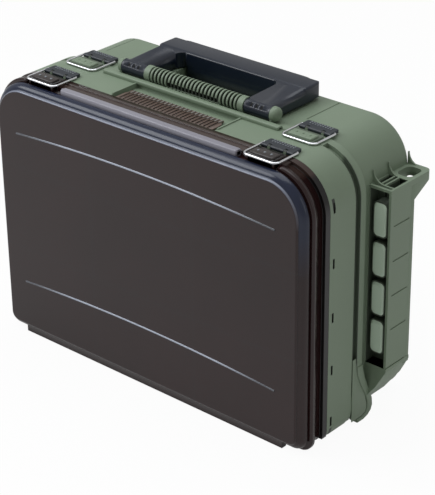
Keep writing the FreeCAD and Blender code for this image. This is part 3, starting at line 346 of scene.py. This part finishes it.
class Growth(Graph):
    """A Geometry Nodes tree with named inputs, and the plain meshes that it grows."""

    KINDS = {float: "NodeSocketFloat", int: "NodeSocketInt", tuple: "NodeSocketVector"}

    def __init__(self, name, **inputs):
        super().__init__(bpy.data.node_groups.new(name, "GeometryNodeTree"))
        kinds = {label: self.KINDS[type(value)] for label, value in inputs.items()}
        kinds["finish"] = "NodeSocketMaterial"
        self.keys = {}
        for label, kind in kinds.items():
            socket = self.tree.interface.new_socket(label, in_out="INPUT", socket_type=kind)
            self.keys[label] = socket.identifier
        self.tree.interface.new_socket("Mesh", in_out="OUTPUT",
                                       socket_type="NodeSocketGeometry")
        self.entry = self.tree.nodes.new("NodeGroupInput")
        self.defaults = inputs

    def given(self, label):
        """The wire of a named input."""
        return Wire(self, self.entry.outputs[label])

    def end(self, geometry):
        """Realize the instances, set the material and close the tree."""
        plain = self.node("GeometryNodeRealizeInstances", None, geometry)
        painted = self.node("GeometryNodeSetMaterial", None, plain,
                            Material=self.given("finish"))
        self.node("NodeGroupOutput", None, painted)

    def grow(self, name, body, slot, material, **values):
        """Make one plain mesh from the tree and let it ride on a body."""
        piece = bpy.data.objects.new(name, bpy.data.meshes.new(name))
        bpy.context.scene.collection.objects.link(piece)
        shape = piece.modifiers.new("growth", "NODES")
        shape.node_group = self.tree
        for label, value in {**self.defaults, **values, "finish": material}.items():
            shape[self.keys[label]] = value
        baked(piece)
        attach(piece, body)


plates = Growth("bevelled_plates", width=0.01, height=0.01, corner=0.001, rise=0.001,
                bevel=0.9, count=1, step=0.01, turn=(0.0, 0.0, 0.0), place=(0.0, 0.0, 0.0))
edge = plates.node("GeometryNodeCurvePrimitiveQuadrilateral", {"mode": "RECTANGLE"},
                   Width=plates.given("width"), Height=plates.given("height"))
edge = plates.node("GeometryNodeFilletCurve", {"mode": "POLY"}, edge,
                   Radius=plates.given("corner"), Count=5)
face = plates.node("GeometryNodeFillCurve", {"mode": "NGONS"}, edge)
raised = plates.node("GeometryNodeExtrudeMesh", {"mode": "FACES"}, face,
                     Offset_Scale=plates.given("rise"), Individual=False)
top = Wire(plates, raised.socket.node.outputs["Top"])
drawn = plates.node("GeometryNodeScaleElements", {"domain": "FACE"}, raised, Selection=top,
                    Scale=plates.given("bevel"))
upright = plates.node("GeometryNodeTransform", None, drawn, Rotation=plates.given("turn"))
path = plates.node("GeometryNodeMeshLine", None, Count=plates.given("count"),
                   Offset=plates.node("ShaderNodeCombineXYZ", None, Z=plates.given("step")))
placed = plates.node("GeometryNodeInstanceOnPoints", None, path, Instance=upright)
plates.end(plates.node("GeometryNodeTransform", None, placed,
                       Translation=plates.given("place")))

# The pads' colour is the green made far paler: painted light on faces that sit in the
# channel's shade.
pad_green = moulded("pad_green", (200, 218, 198), (206, 220, 200), rough=0.42, grain=0.15,
                    grain_size=900, wear=2.5)
for side, sign in SIDES:
    plates.grow(f"rack_pads_{side}", "tub", "green_shell", pad_green,
                width=PAD_FACE[0] * MM, height=PAD_FACE[1] * MM, corner=PAD_ROUND * MM,
                rise=PAD_RISE * MM, bevel=1 - 2 * PAD_BEVEL / PAD_FACE[1], count=PAD_COUNT,
                step=PAD_PITCH * MM, turn=(math.pi / 2, 0.0, 0.0),
                place=at(sign * PAD_MIDDLE, PAD_FRONT, PAD_FIRST))

# ---------------------------------------------------------------------- rack backs and lugs
# Each rack is closed to the back by a web, runs out into the tub's lower corner in a
# sloping foot, and carries a strap lug that is deepest where it leaves the rack.
FOOT_LEVELS = (
    # height, widths, depths
    (18, (211, 216), (100, 148)),
    (40, (211, 231), (110, 155)),
    (59, (211, 240.1), (115.9, 157)),
    (63, (211, 240.1), (115.9, 157)),
)
WEB, WEB_ROUND = ((211, 239.8), (148.0, 157.0), (56.0, 269.8)), 0.7
LUG_SIDE = ((155.5, 245), (156.5, 246), (186.5, 262.5), (186.5, 269.9), (155.5, 269.9))
LUG_SPAN, LUG_ROUND = (211.5, 239.9), 0.8
LUG_PLAN, LUG_CORNER = ((200, 239.9), (140, 185.9), (232, 281)), 7.0
LUG_EYE, EYE_CORNER = ((214.2, 236.4), (154.4, 179.6), (252, 275)), 4.0


def softened(piece, width, steps):
    """Round every edge of a solid."""
    soft = piece.modifiers.new("soft", "BEVEL")
    soft.width, soft.segments = width * MM, steps
    return baked(piece)


def outward(piece):
    """Turn a closed solid's faces to the outside and put it in the scene."""
    shape = bmesh.new()
    shape.from_mesh(piece.data)
    bmesh.ops.recalc_face_normals(shape, faces=shape.faces)
    shape.to_mesh(piece.data)
    shape.free()
    bpy.context.scene.collection.objects.link(piece)
    return piece


def loft(name, loops, closed=False):
    """A solid through loops of equal length: capped at both ends, or closed on itself."""
    count = len(loops[0])
    points = [point for loop in loops for point in loop]
    faces = []
    for i in range(len(loops) if closed else len(loops) - 1):
        a, b = i * count, (i + 1) % len(loops) * count
        faces += [(a + k, a + (k + 1) % count, b + (k + 1) % count, b + k)
                  for k in range(count)]
    if not closed:
        faces += [tuple(reversed(range(count))),
                  tuple(range(len(points) - count, len(points)))]
    mesh = bpy.data.meshes.new(name)
    mesh.from_pydata(points, [], faces)
    return outward(bpy.data.objects.new(name, mesh))


def rectangle(z, x, y):
    """The corners of a level rectangle."""
    return [at(a, b, z) for a, b in ((x[0], y[0]), (x[1], y[0]), (x[1], y[1]), (x[0], y[1]))]


def brick(name, x, y, z):
    """A block between two widths, two depths and two heights."""
    return loft(name, [rectangle(level, x, y) for level in z])


def on_side(sign, x, y, z):
    """The bounds of a block on the right, or of its mirror image on the left."""
    return sorted(sign * v for v in x), y, z


def extruded(name, edge, span):
    """A solid with a flat outline of (depth, height) points between two widths."""
    return loft(name, [[at(x, y, z) for y, z in edge] for x in span])


def carve(target, tool, operation):
    """Join a tool to a solid or take it away, and drop the tool."""
    join = target.modifiers.new(operation, "BOOLEAN")
    join.operation, join.object, join.solver = operation, tool, "EXACT"
    baked(target)
    bpy.data.objects.remove(tool)


def settle(piece, material, body, slot, *nodes, crisp=32.0):
    """Shade a finished solid, give it its material and let it stand for its CAD nodes."""
    piece.data.materials.clear()
    piece.data.materials.append(material)
    piece.data.shade_smooth()
    piece.data.set_sharp_from_angle(angle=math.radians(crisp))
    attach(piece, body)
    if nodes:
        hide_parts(*nodes)


for side, sign in SIDES:
    foot = loft(f"rack_foot_{side}", [rectangle(z, [sign * v for v in x], y)
                                      for z, x, y in FOOT_LEVELS])
    web = softened(brick("web", *on_side(sign, *WEB)), WEB_ROUND, steps=2)
    carve(foot, web, "UNION")
    lug = extruded("lug", LUG_SIDE, sorted(sign * x for x in LUG_SPAN))
    plan = softened(brick("plan", *on_side(sign, *LUG_PLAN)), LUG_CORNER, steps=6)
    carve(softened(lug, LUG_ROUND, steps=2), plan, "INTERSECT")
    carve(foot, lug, "UNION")
    eye = softened(brick("eye", *on_side(sign, *LUG_EYE)), EYE_CORNER, steps=4)
    carve(foot, eye, "DIFFERENCE")
    settle(foot, green, "tub", "green_shell")

# ---------------------------------------------------------------------- tray
# The middle shell is moulded in the same green plastic as the tub. It is a shallow tray
# behind the lid, in one piece with two catch blocks, two pairs of ears and its knuckles.
SLOT_DEPTH, SLOT_SPAN = (220.3, 222.8), (43.6, 47.8)
FRONT_EARS, CATCH_WELL, WELL_SHADE = (36.5, 47.5), (72.0, 95.0), 0.6


def tray_shade(finish):
    """Painted shade: the right side's slots, the front ears and the wells at the catches."""
    x, y, z = depths(finish)
    strip = latch_strip(x, z)
    slots = x.within(*SLOT_DEPTH, soft=0.1) * y.within(*SLOT_SPAN, soft=0.1)
    well = strip * y.within(*CATCH_WELL, soft=0.6) * WELL_SHADE
    return slots.either(strip * y.within(*FRONT_EARS, soft=0.4)).either(well)


# The tray's green carries painted shade in the side slots, on the front ears and in the catch
# wells.
dress(green_plastic("tray_green", tray_shade), "front_shell")

# ---------------------------------------------------------------------- ridge bar
# The tray's rear edge stands up in a rounded bar behind the lid's tab. It is moulded with
# the tray.
RIDGE, RIDGE_ROUND = ((-124.0, 124.0), (78.4, 85.5), (315.2, 320.3)), 1.8

ridge = softened(brick("ridge_bar", *RIDGE), RIDGE_ROUND, steps=4)
settle(ridge, green, "tray", "green_shell")

# ---------------------------------------------------------------------- lid
# The lid is clear smoke plastic, polished in the mould, so it looks almost black where
# the tray is dark behind it and brown where it is thin over light green plastic.
# Some tints are painted light: a sky reflection on the shoulder, highlights on the bar and
# field edge, and edges paled by wear and highlight.
SMOKE, SMOKE_DARK, SMOKE_LIGHT = (36, 20, 20), 0.8, 1.25
SMOKE_ROUGH, SMOKE_SHINE, TAB_ROUGHER = 0.2, 0.36, 0.12
SMOKE_TINTS = {
    # part of the lid: its colour
    "divider": (40, 37, 38),
    "thin": (58, 44, 40),
    # painted reflection of the sky on the roll's shoulder
    "shoulder_sky_reflection": (32, 38, 58),
    # painted highlight on the bar's rounded top
    "bar": (136, 134, 144),
    # painted highlight along the field's edge
    "field_edge_highlight": (160, 168, 188),
    "rim": (20, 18, 18),
    "tab": (104, 88, 80),
    "block": (30, 24, 23),
    # paler edges: partly wear, partly a painted highlight
    "edge_wear_and_highlight": (96, 98, 104),
}
SHELF_LOW, SHELF_HIGH, POSTS = (112.0, 114.0), (212.0, 214.0), (72.0, 74.0)
FIELD_DEPTH, FIELD_HIGHLIGHT_SPAN = 6.0, (1.1, 3.2)
TOP_FROM, THIN_FROM, RIM_FROM, TAB_FROM = 305.0, 22.5, 31.6, 39.2
SKY_REFLECTION_SPAN, SKY_REFLECTION_FROM, FIELD_HIGHLIGHT_FROM = (3.0, 12.6), 230.0, 290.0
BAR_HIGHLIGHT_HALF, BAR_HIGHLIGHT_SPAN = 124.0, (12.6, 22.2)
BLOCK_SPAN, BLOCK_DEPTH, BLOCK_FROM = (136.0, 172.0), 36.0, 316.3


def smoke_plastic():
    """Polished smoke plastic tinted by thickness and what is behind; some tints are painted
    light.
    """
    finish = Finish("smoke_plastic")
    place = finish.node("ShaderNodeTexCoord", out="Object")
    x, y, z = depths(finish)
    wide = finish.node("ShaderNodeTexNoise", None, place, Scale=7.0, Detail=3.0)
    smear = finish.node("ShaderNodeTexNoise", None, place, Scale=60.0, Detail=5.0,
                        Roughness=0.7)
    dust = finish.node("ShaderNodeTexNoise", None, place, Scale=900.0, Detail=1.0)
    edge = finish.node("ShaderNodeBevel", {"samples": 4}, EDGE_ROUND)
    shelf = z.within(*SHELF_LOW, soft=1.5).either(z.within(*SHELF_HIGH, soft=1.5))
    divider = shelf.either(abs(x).within(*POSTS, soft=1.5))
    top = 1 - z.below(TOP_FROM, soft=4.0)
    high = 1 - z.below(SKY_REFLECTION_FROM, soft=50.0)
    lit = 1 - z.below(FIELD_HIGHLIGHT_FROM, soft=60.0)
    tab = 1 - y.below(TAB_FROM, soft=0.3)
    block = (1 - z.below(BLOCK_FROM, soft=0.3)) * abs(x).within(*BLOCK_SPAN, soft=1.0)
    masks = {
        # each tint lies over those before it
        "divider": divider * y.below(FIELD_DEPTH, soft=2.0) * 0.3,
        "thin": top * (1 - y.below(THIN_FROM, soft=1.0)),
        # painted reflection of the sky, strongest high on the lid
        "shoulder_sky_reflection": high * y.within(*SKY_REFLECTION_SPAN, soft=1.0),
        # painted highlight on the bar
        "bar": top * y.within(*BAR_HIGHLIGHT_SPAN, soft=0.4) * abs(x).below(BAR_HIGHLIGHT_HALF, soft=0.5),
        # painted highlight on the field's edge, strongest near the top
        "field_edge_highlight": lit * y.within(*FIELD_HIGHLIGHT_SPAN, soft=0.5) * 0.8,
        "rim": (1 - y.below(RIM_FROM, soft=0.6)) * (1 - top),
        "tab": tab,
        "block": block * y.below(BLOCK_DEPTH, soft=1.0),
        # paler sharp edges: partly wear, partly a painted highlight
        "edge_wear_and_highlight": edge_wear_and_sheen(finish, edge, strength=1.5) * 0.25,
    }
    shade = finish.mix(wide, tone(*SMOKE, times=SMOKE_DARK), tone(*SMOKE, times=SMOKE_LIGHT))
    for part, mask in masks.items():
        shade = finish.mix(mask, shade, tone(*SMOKE_TINTS[part]))
    bump = finish.node("ShaderNodeBump", None, Strength=0.04, Distance=0.2 * MM,
                       Height=dust * 0.3 + smear, Normal=edge)
    rough = SMOKE_ROUGH + (smear - 0.5) * 0.14 + (wide - 0.5) * 0.08 + tab * TAB_ROUGHER
    return finish.close(finish.node("ShaderNodeBsdfPrincipled", None, Base_Color=shade,
                                    Roughness=rough, IOR=1.5,
                                    Specular_IOR_Level=SMOKE_SHINE, Normal=bump))


smoke = smoke_plastic()

CASE_HALF, CASE_TOP = 223.0, 316.0
UPPER_CORNER, UPPER_LEAST = 50.0, 4
LOWER_CORNER, LOWER_LEAST, LOWER_SHRINK = 16.0, 2, 0.6
CORNER_STEPS, ROLL_STEPS = 16, 8
FIELD_FRONT, FIELD_INSET, FIELD_ROLL, FIELD_BACK = 0.8, 11.0, 2.2, 5.6
SHOULDER = (4.4, 11.8, 8.8)              # inset and depth of the roll's end, and its radius
CREASE = (5.6, 12.3)
BEAD_INSET, BEAD_DEPTHS, BEAD_ROUND, BEAD_BACK = 0.3, (12.6, 22.0), 2.5, 2
GROOVE_INSET, GROOVE_STEP, GROOVE_END = 4.0, 0.2, 32.0
LIP = ((3.6, 8.2), (20.5, 35))           # insets and depths
TRIM_OUT, TRIM_FRONT, TRIM_SHORT = -0.4, -1.0, 0.05


def quarter(inset, depth, radius, first, last):
    """Points (inset, depth) on an arc about a centre, between two angles in degrees."""
    turns = (math.radians(first + (last - first) * i / ROLL_STEPS)
             for i in range(ROLL_STEPS + 1))
    return [(inset - radius * math.sin(t), depth - radius * math.cos(t)) for t in turns]


def case_loop(inset, depth):
    """One loop round the case's front outline, at an inset and a depth."""
    half, top = CASE_HALF - inset, CASE_TOP - inset
    upper = max(UPPER_CORNER - inset, UPPER_LEAST)
    lower = max(LOWER_CORNER - LOWER_SHRINK * inset, LOWER_LEAST)
    loop = []
    for cx, cz, radius, first in ((1, top - upper, upper, 0), (-1, top - upper, upper, 90),
                                  (-1, inset + lower, lower, 180),
                                  (1, inset + lower, lower, 270)):
        for i in range(CORNER_STEPS + 1):
            turn = math.radians(first + 90 * i / CORNER_STEPS)
            loop.append(at(cx * (half - radius) + radius * math.cos(turn), depth,
                           cz + radius * math.sin(turn)))
    return loop


def hoop(name, insets, between):
    """A closed band round the case, between two insets and two depths."""
    (a, b), (c, d) = insets, between
    ring = ((a, c), (a, d), (b, d), (b, c))
    return loft(name, [case_loop(inset, depth) for inset, depth in ring], closed=True)


def merged_copy(name, node):
    """A copy of a CAD node with its loose triangles joined."""
    shape = bmesh.new()
    shape.from_mesh(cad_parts[node].data)
    bmesh.ops.remove_doubles(shape, verts=shape.verts, dist=1e-6)
    mesh = bpy.data.meshes.new(name)
    shape.to_mesh(mesh)
    shape.free()
    piece = bpy.data.objects.new(name, mesh)
    bpy.context.scene.collection.objects.link(piece)
    return piece


profile = quarter(FIELD_INSET + FIELD_ROLL, FIELD_FRONT + FIELD_ROLL, FIELD_ROLL, 0, 90)
inset, depth, radius = SHOULDER
start = math.degrees(math.asin((inset + radius - FIELD_INSET) / radius))
profile += quarter(inset + radius, depth, radius, start, 90) + [CREASE]
profile += quarter(BEAD_INSET + BEAD_ROUND, BEAD_DEPTHS[0] + BEAD_ROUND, BEAD_ROUND, 0, 90)
profile += quarter(BEAD_INSET + BEAD_BACK, BEAD_DEPTHS[1] - BEAD_BACK, BEAD_BACK, 90, 180)
profile += [(GROOVE_INSET, BEAD_DEPTHS[1] + GROOVE_STEP), (GROOVE_INSET, GROOVE_END)]

lid = merged_copy("lid_shell", "front_lid")
carve(lid, hoop("lip", *LIP), "UNION")
field = loft("field", [case_loop(FIELD_INSET, depth) for depth in (FIELD_FRONT, FIELD_BACK)])
carve(lid, field, "UNION")
envelope = loft("envelope", [case_loop(inset, depth) for inset, depth in profile])
waste = loft("waste", [case_loop(TRIM_OUT, depth)
                       for depth in (TRIM_FRONT, GROOVE_END - TRIM_SHORT)])
carve(waste, envelope, "DIFFERENCE")
carve(lid, waste, "DIFFERENCE")
EXTRAS = {
    # block joined to the lid: its widths, depths and heights
    "foot": ((-191, 191), (5, 12), (0, 8)),
    "top_fill": ((-179, 179), (21, 32.4), (309, 314.8)),
    "bar": ((-124, 124), (12.8, 21.9), (309.5, 317.2)),
    "root_left": ((-172, -136), (13.8, 33.8), (311, 318)),
    "root_right": ((136, 172), (13.8, 33.8), (311, 318)),
    "tab_tip": ((-67.8, 63), (55, 66), (312.6, 314.9)),
}
EXTRA_ROUND = {"bar": 2.2, "tab_tip": 1.0}
for name, bounds in EXTRAS.items():
    block = brick(name, *bounds)
    if name in EXTRA_ROUND:
        softened(block, EXTRA_ROUND[name], steps=4)
    carve(lid, block, "UNION")
settle(lid, smoke, "lid", "smoke_lid", "front_lid")

# ---------------------------------------------------------------------- crest beads
# Two long shallow crescents cross the lid. The upper edge of each is a fine tapered bead,
# moulded with the lid, coloured as a painted highlight that darkens towards both ends.
CREST_HALF, CREST_BOW = 184.0, 7.0
CREST_HEIGHTS = {"upper": 253.5, "lower": 69.0}
CREST_RADIUS, CREST_SINK, CREST_TIP = 1.25, 1.35, 0.02
HIGHLIGHT_FADE_AT, HIGHLIGHT_FADE_SOFT, HIGHLIGHT_FADE_MOST = 135.0, 60.0, 0.85

bead = Growth("tapered_bead", start=(0.0, 0.0, 0.0), middle=(0.0, 0.0, 0.0),
              end=(0.0, 0.0, 0.0), thickness=0.001)
arc = bead.node("GeometryNodeCurveArc", {"mode": "POINTS"}, Resolution=96,
                Start=bead.given("start"), Middle=bead.given("middle"), End=bead.given("end"))
along = bead.node("GeometryNodeSplineParameter", out="Factor")
taper = (along * math.pi).calc("SINE").calc("POWER", 0.5)
arc = bead.node("GeometryNodeSetCurveRadius", None, arc, Radius=taper + CREST_TIP)
ring = bead.node("GeometryNodeCurvePrimitiveCircle", {"mode": "RADIUS"}, Resolution=10,
                 Radius=bead.given("thickness"))
bead.end(bead.node("GeometryNodeCurveToMesh", None, arc, ring, Fill_Caps=True))


def crest_highlight_fade(finish):
    """The beads' painted highlight darkens towards both ends."""
    return (1 - abs(depths(finish)[0]).below(HIGHLIGHT_FADE_AT, HIGHLIGHT_FADE_SOFT)) * HIGHLIGHT_FADE_MOST


# The beads' pale colour is a painted highlight on the smoke plastic.
crease_highlight = moulded("smoke_crease", (168, 174, 190), (190, 196, 208), rough=0.2, grain=0.03,
                 grain_size=300, shaded=crest_highlight_fade)
for name, height in CREST_HEIGHTS.items():
    bead.grow(f"crest_bead_{name}", "lid", "smoke_lid", crease_highlight, thickness=CREST_RADIUS * MM,
              start=at(-CREST_HALF, CREST_SINK, height),
              middle=at(0.0, CREST_SINK, height + CREST_BOW),
              end=at(CREST_HALF, CREST_SINK, height))

# ---------------------------------------------------------------------- tray back seal
# A strip inside the tray ties each side wall and upper corner to the back panel. It is
# moulded with the tray.
SEAL = ((1.4, 6.2), (79.0, 81.8))        # insets and depths
SEAL_CUTS = (                            # the bottom run, and the top between the corners
    ((-240, 240), (60, 100), (-20, 24)),
    ((-190, 190), (60, 100), (-20, 330)),
)

seal = hoop("tray_back_seal", *SEAL)
for bounds in SEAL_CUTS:
    carve(seal, brick("seal_cut", *bounds), "DIFFERENCE")
settle(seal, green, "tray", "green_shell")

# ---------------------------------------------------------------------- corner lobes
# At each lower corner the tray's side swells back in a lobe, and the tub's flange
# turns round it in one curve; both are moulded with their shells.
LOBE_EDGE = ((80.5, 84), (85.7, 84), (88.0, 61), (94.0, 46.8), (102.0, 32.4), (105.6, 22),
             (106.2, 15.4), (104.0, 10.4), (98.0, 8.2), (80.5, 8.2))
LOBE_SPAN, LOBE_ROUND = (223.02, 223.9), 0.3
FLANGE_EDGE = ((88.6, 72), (89.4, 61.6), (95.6, 47.2), (103.6, 32.8), (107.2, 22),
               (107.6, 14.8), (105.0, 9.2), (99.0, 7.2), (90.4, 7.2), (90.4, 2.4),
               (101.0, 2.2), (109.0, 4.4), (114.4, 8.6), (116.6, 14.6), (115.6, 23.6),
               (109.6, 36.2), (102.6, 53.4), (97.4, 72))
FLANGE_SPAN, FLANGE_ROUND = (213.0, 224.2), 1.1

for side, sign in SIDES:
    lobe = extruded(f"tray_lobe_{side}", LOBE_EDGE, [sign * x for x in LOBE_SPAN])
    settle(softened(lobe, LOBE_ROUND, steps=2), green, "tray", "green_shell")
    flange = extruded(f"corner_flange_{side}", FLANGE_EDGE, [sign * x for x in FLANGE_SPAN])
    settle(softened(flange, FLANGE_ROUND, steps=3), green, "tub", "green_shell")

# ---------------------------------------------------------------------- tab ribs
# Fine ribs run over the whole lifting tab, so that a thumb holds it. They are moulded
# with the lid.
RIB_SIZE, RIB_DEPTH, RIB_HEIGHT = (1.5, 24.0, 1.2), 52.4, 315.2
RIB_HALF, RIB_COUNT = 62.0, 24
RIB_PITCH = 2 * RIB_HALF / (RIB_COUNT - 1)

row = Growth("ribs_in_a_row", count=1, step=0.01, size=(0.001, 0.001, 0.001),
             place=(0.0, 0.0, 0.0))
bar = row.node("GeometryNodeMeshCube", None, Size=row.given("size"))
line = row.node("GeometryNodeMeshLine", None, Count=row.given("count"),
                Offset=row.node("ShaderNodeCombineXYZ", None, row.given("step")))
bars = row.node("GeometryNodeInstanceOnPoints", None, line, Instance=bar)
row.end(row.node("GeometryNodeTransform", None, bars, Translation=row.given("place")))

smoke_rib = moulded("smoke_rib", (128, 124, 120), (150, 144, 140), rough=0.35, grain=0.1,
                    grain_size=900, coat=0.1)
row.grow("tab_ribs", "lid", "smoke_lid", smoke_rib, count=RIB_COUNT, step=RIB_PITCH * MM,
         size=tuple(v * MM for v in RIB_SIZE), place=at(-RIB_HALF, RIB_DEPTH, RIB_HEIGHT))

# ---------------------------------------------------------------------- comb
# A comb of low thin ribs stands on the tub between its front edge and the fins. It is
# moulded with the tub.
COMB_RIB, COMB_DEPTH, COMB_HEIGHT = (1.6, 4.4, 3.4), 88.0, 317.4
COMB_COUNT, COMB_PITCH = 15, 5.2

row.grow("comb_ribs", "tub", "green_shell", green, count=COMB_COUNT, step=COMB_PITCH * MM,
         size=tuple(v * MM for v in COMB_RIB),
         place=at(-COMB_PITCH * (COMB_COUNT - 1) / 2, COMB_DEPTH, COMB_HEIGHT))

# ---------------------------------------------------------------------- handle
# The carrying handle is one thick moulding of dark blue-grey plastic. It turns on two
# steel pins in the tub's bosses and folds down flat on the tub.
GRIP_CORE, GRIP_SHADE = 7.4, 0.9
GRIP_BAR, GRIP_ROUND = ((-104.0, 104.0), (146.8, 175.5), (317.0, 335.0)), 3.6
HANDLE_PLAN, PLAN_CORNER = ((-104.2, 104.2), (60.0, 175.5), (290.0, 350.0)), 9.0


def grip_shade(finish):
    """Painted shade on the floors of the three slots across each barrel."""
    x, y, z = depths(finish)
    deep = from_axis(y, z).below(GRIP_CORE, soft=0.3)
    return deep * y.below(HANDLE_AXIS[0], soft=1.0) * GRIP_SHADE


handle_dark = moulded("handle_dark", (13, 22, 38), (56, 72, 98), rough=0.34, grain=0.2,
                      grain_size=1500, coat=0.05, wear=0.5, shaded=grip_shade)
handle = merged_copy("handle_shell", "handle")
carve(handle, softened(brick("grip_bar", *GRIP_BAR), GRIP_ROUND, steps=4), "UNION")
carve(handle, softened(brick("handle_plan", *HANDLE_PLAN), PLAN_CORNER, steps=5), "INTERSECT")
settle(handle, handle_dark, "carry_handle", "dark_plastic", "handle", crisp=40.0)

# ---------------------------------------------------------------------- levers and catches
# Each latch has a flat lever of dark glass-filled plastic on a steel pin, with two rows of
# finger nubs. The block that its bail catches, moulded with the lid or the tray, has a
# thick cap with three round studs.
LATCH_MIDDLE, LEVER_TOP, CATCH_TOP = 154.0, 319.7, 319.0
NUB_ROWS, NUB_PITCH, NUB_BEHIND = (9, 2), (3.3, 3.0), 9.6
NUB_RADIUS, NUB_HEIGHT = 0.95, 0.7
STUD_COUNT, STUD_PITCH, STUD_AHEAD = 3, 8.5, 20
STUD_RADIUS, STUD_HEIGHT = 1.5, 0.9
CAP_HALF, CAP_SPAN, CAP_HEIGHTS, CAP_ROUND = 15.0, (-26.5, -13.8), (-2.0, 2.2), 1.2

studs = Growth("rounded_studs", across=1, deep=1, pitch_across=0.01, pitch_deep=0.01,
               radius=0.001, height=0.001, place=(0.0, 0.0, 0.0))
net = studs.node("GeometryNodeMeshGrid", None,
                 Size_X=studs.given("pitch_across") * (studs.given("across") - 1),
                 Size_Y=studs.given("pitch_deep") * (studs.given("deep") - 1),
                 Vertices_X=studs.given("across"), Vertices_Y=studs.given("deep"))
ball = studs.node("GeometryNodeMeshUVSphere", None, Segments=12, Rings=8, Radius=1.0)
flat = studs.node("ShaderNodeCombineXYZ", None, studs.given("radius"), studs.given("radius"),
                  studs.given("height"))
ball = studs.node("GeometryNodeTransform", None, ball, Scale=flat)
dots = studs.node("GeometryNodeInstanceOnPoints", None, net, Instance=ball)
studs.end(studs.node("GeometryNodeTransform", None, dots, Translation=studs.given("place")))

lever_dark = moulded("lever_dark", (24, 31, 40), (76, 84, 94), rough=0.42, grain=0.6,
                     grain_size=1300, wear=2.5)
nub_grey = moulded("nub_grey", (122, 127, 133), (150, 154, 160), rough=0.35, grain=0.2,
                   grain_size=1500)
cap_brown = moulded("cap_brown", (40, 32, 30), (84, 78, 76), rough=0.3, grain=0.15,
                    grain_size=900)
LATCHES = {
    # seam: depth of the levers' pins; body, slot and materials of the caps and their studs
    "front": (41.8, "lid", "smoke_lid", cap_brown, nub_grey),
    "rear": (101.5, "tray", "green_shell", green, green),
}
for seam, (pivot, body, slot, cap_stuff, stud_stuff) in LATCHES.items():
    for side, sign in SIDES:
        dress(lever_dark, f"lever_{seam}_{side}")
        middle = sign * LATCH_MIDDLE
        studs.grow(f"nubs_{seam}_{side}", f"lever_{seam}_{side}_body", "lever_plastic",
                   nub_grey, across=NUB_ROWS[0], deep=NUB_ROWS[1],
                   pitch_across=NUB_PITCH[0] * MM, pitch_deep=NUB_PITCH[1] * MM,
                   radius=NUB_RADIUS * MM, height=NUB_HEIGHT * MM,
                   place=at(middle, pivot + NUB_BEHIND, LEVER_TOP))
        cap = brick(f"cap_{seam}_{side}", (middle - CAP_HALF, middle + CAP_HALF),
                    [pivot + end for end in CAP_SPAN],
                    [CATCH_TOP + end for end in CAP_HEIGHTS])
        settle(softened(cap, CAP_ROUND, steps=3), cap_stuff, body, slot)
        studs.grow(f"studs_{seam}_{side}", body, slot, stud_stuff, across=STUD_COUNT,
                   pitch_across=STUD_PITCH * MM, radius=STUD_RADIUS * MM,
                   height=STUD_HEIGHT * MM,
                   place=at(middle, pivot - STUD_AHEAD, CATCH_TOP + CAP_HEIGHTS[1]))

# ---------------------------------------------------------------------- bails and pins
# The bails are bent from polished stainless wire and spring over the catch blocks. The
# hinge, lever and handle pins are cut from drawn steel rod and pressed in.
DRAW_MARKS = (60, 900, 900)              # drawn-out scale of the marks, along and across x
DULLED = 0.88


def drawn_metal(name, colour, rough, streaks):
    """Bare drawn wire or rod, with fine marks along x and duller spots."""
    finish = Finish(name)
    place = finish.node("ShaderNodeTexCoord", out="Object")
    squeezed = finish.node("ShaderNodeMapping", None, place, Scale=DRAW_MARKS)
    line = finish.node("ShaderNodeTexNoise", None, squeezed, Scale=1.0, Detail=3.0)
    spot = finish.node("ShaderNodeTexNoise", None, place, Scale=120.0, Detail=3.0)
    shade = finish.mix(spot, tone(*colour), tone(*colour, times=DULLED))
    bump = finish.node("ShaderNodeBump", None, Strength=streaks, Distance=0.1 * MM,
                       Height=line)
    return finish.close(finish.node("ShaderNodeBsdfPrincipled", None, Base_Color=shade,
                                    Metallic=1.0, Roughness=(spot - 0.5) * 0.14 + rough,
                                    Normal=bump))


bright_wire = drawn_metal("bright_wire", (240, 241, 245), rough=0.2, streaks=0.08)
steel = drawn_metal("drawn_steel", (196, 198, 202), rough=0.32, streaks=0.25)
dress(bright_wire, *(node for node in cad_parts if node.startswith("bail_")))
dress(steel, *(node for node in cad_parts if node.endswith("_pins")))

# ---------------------------------------------------------------------- dividers
# The shelves and uprights are cut from a milky grey sheet with a satin face, and they
# slide between the guide ribs of the tray and the tub.
sheet = moulded("divider_sheet", (112, 115, 114), (150, 153, 152), rough=0.38, grain=0.12,
                grain_size=700, wear=1.0)
dress(sheet, *(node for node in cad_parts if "shelf" in node or "upright" in node))
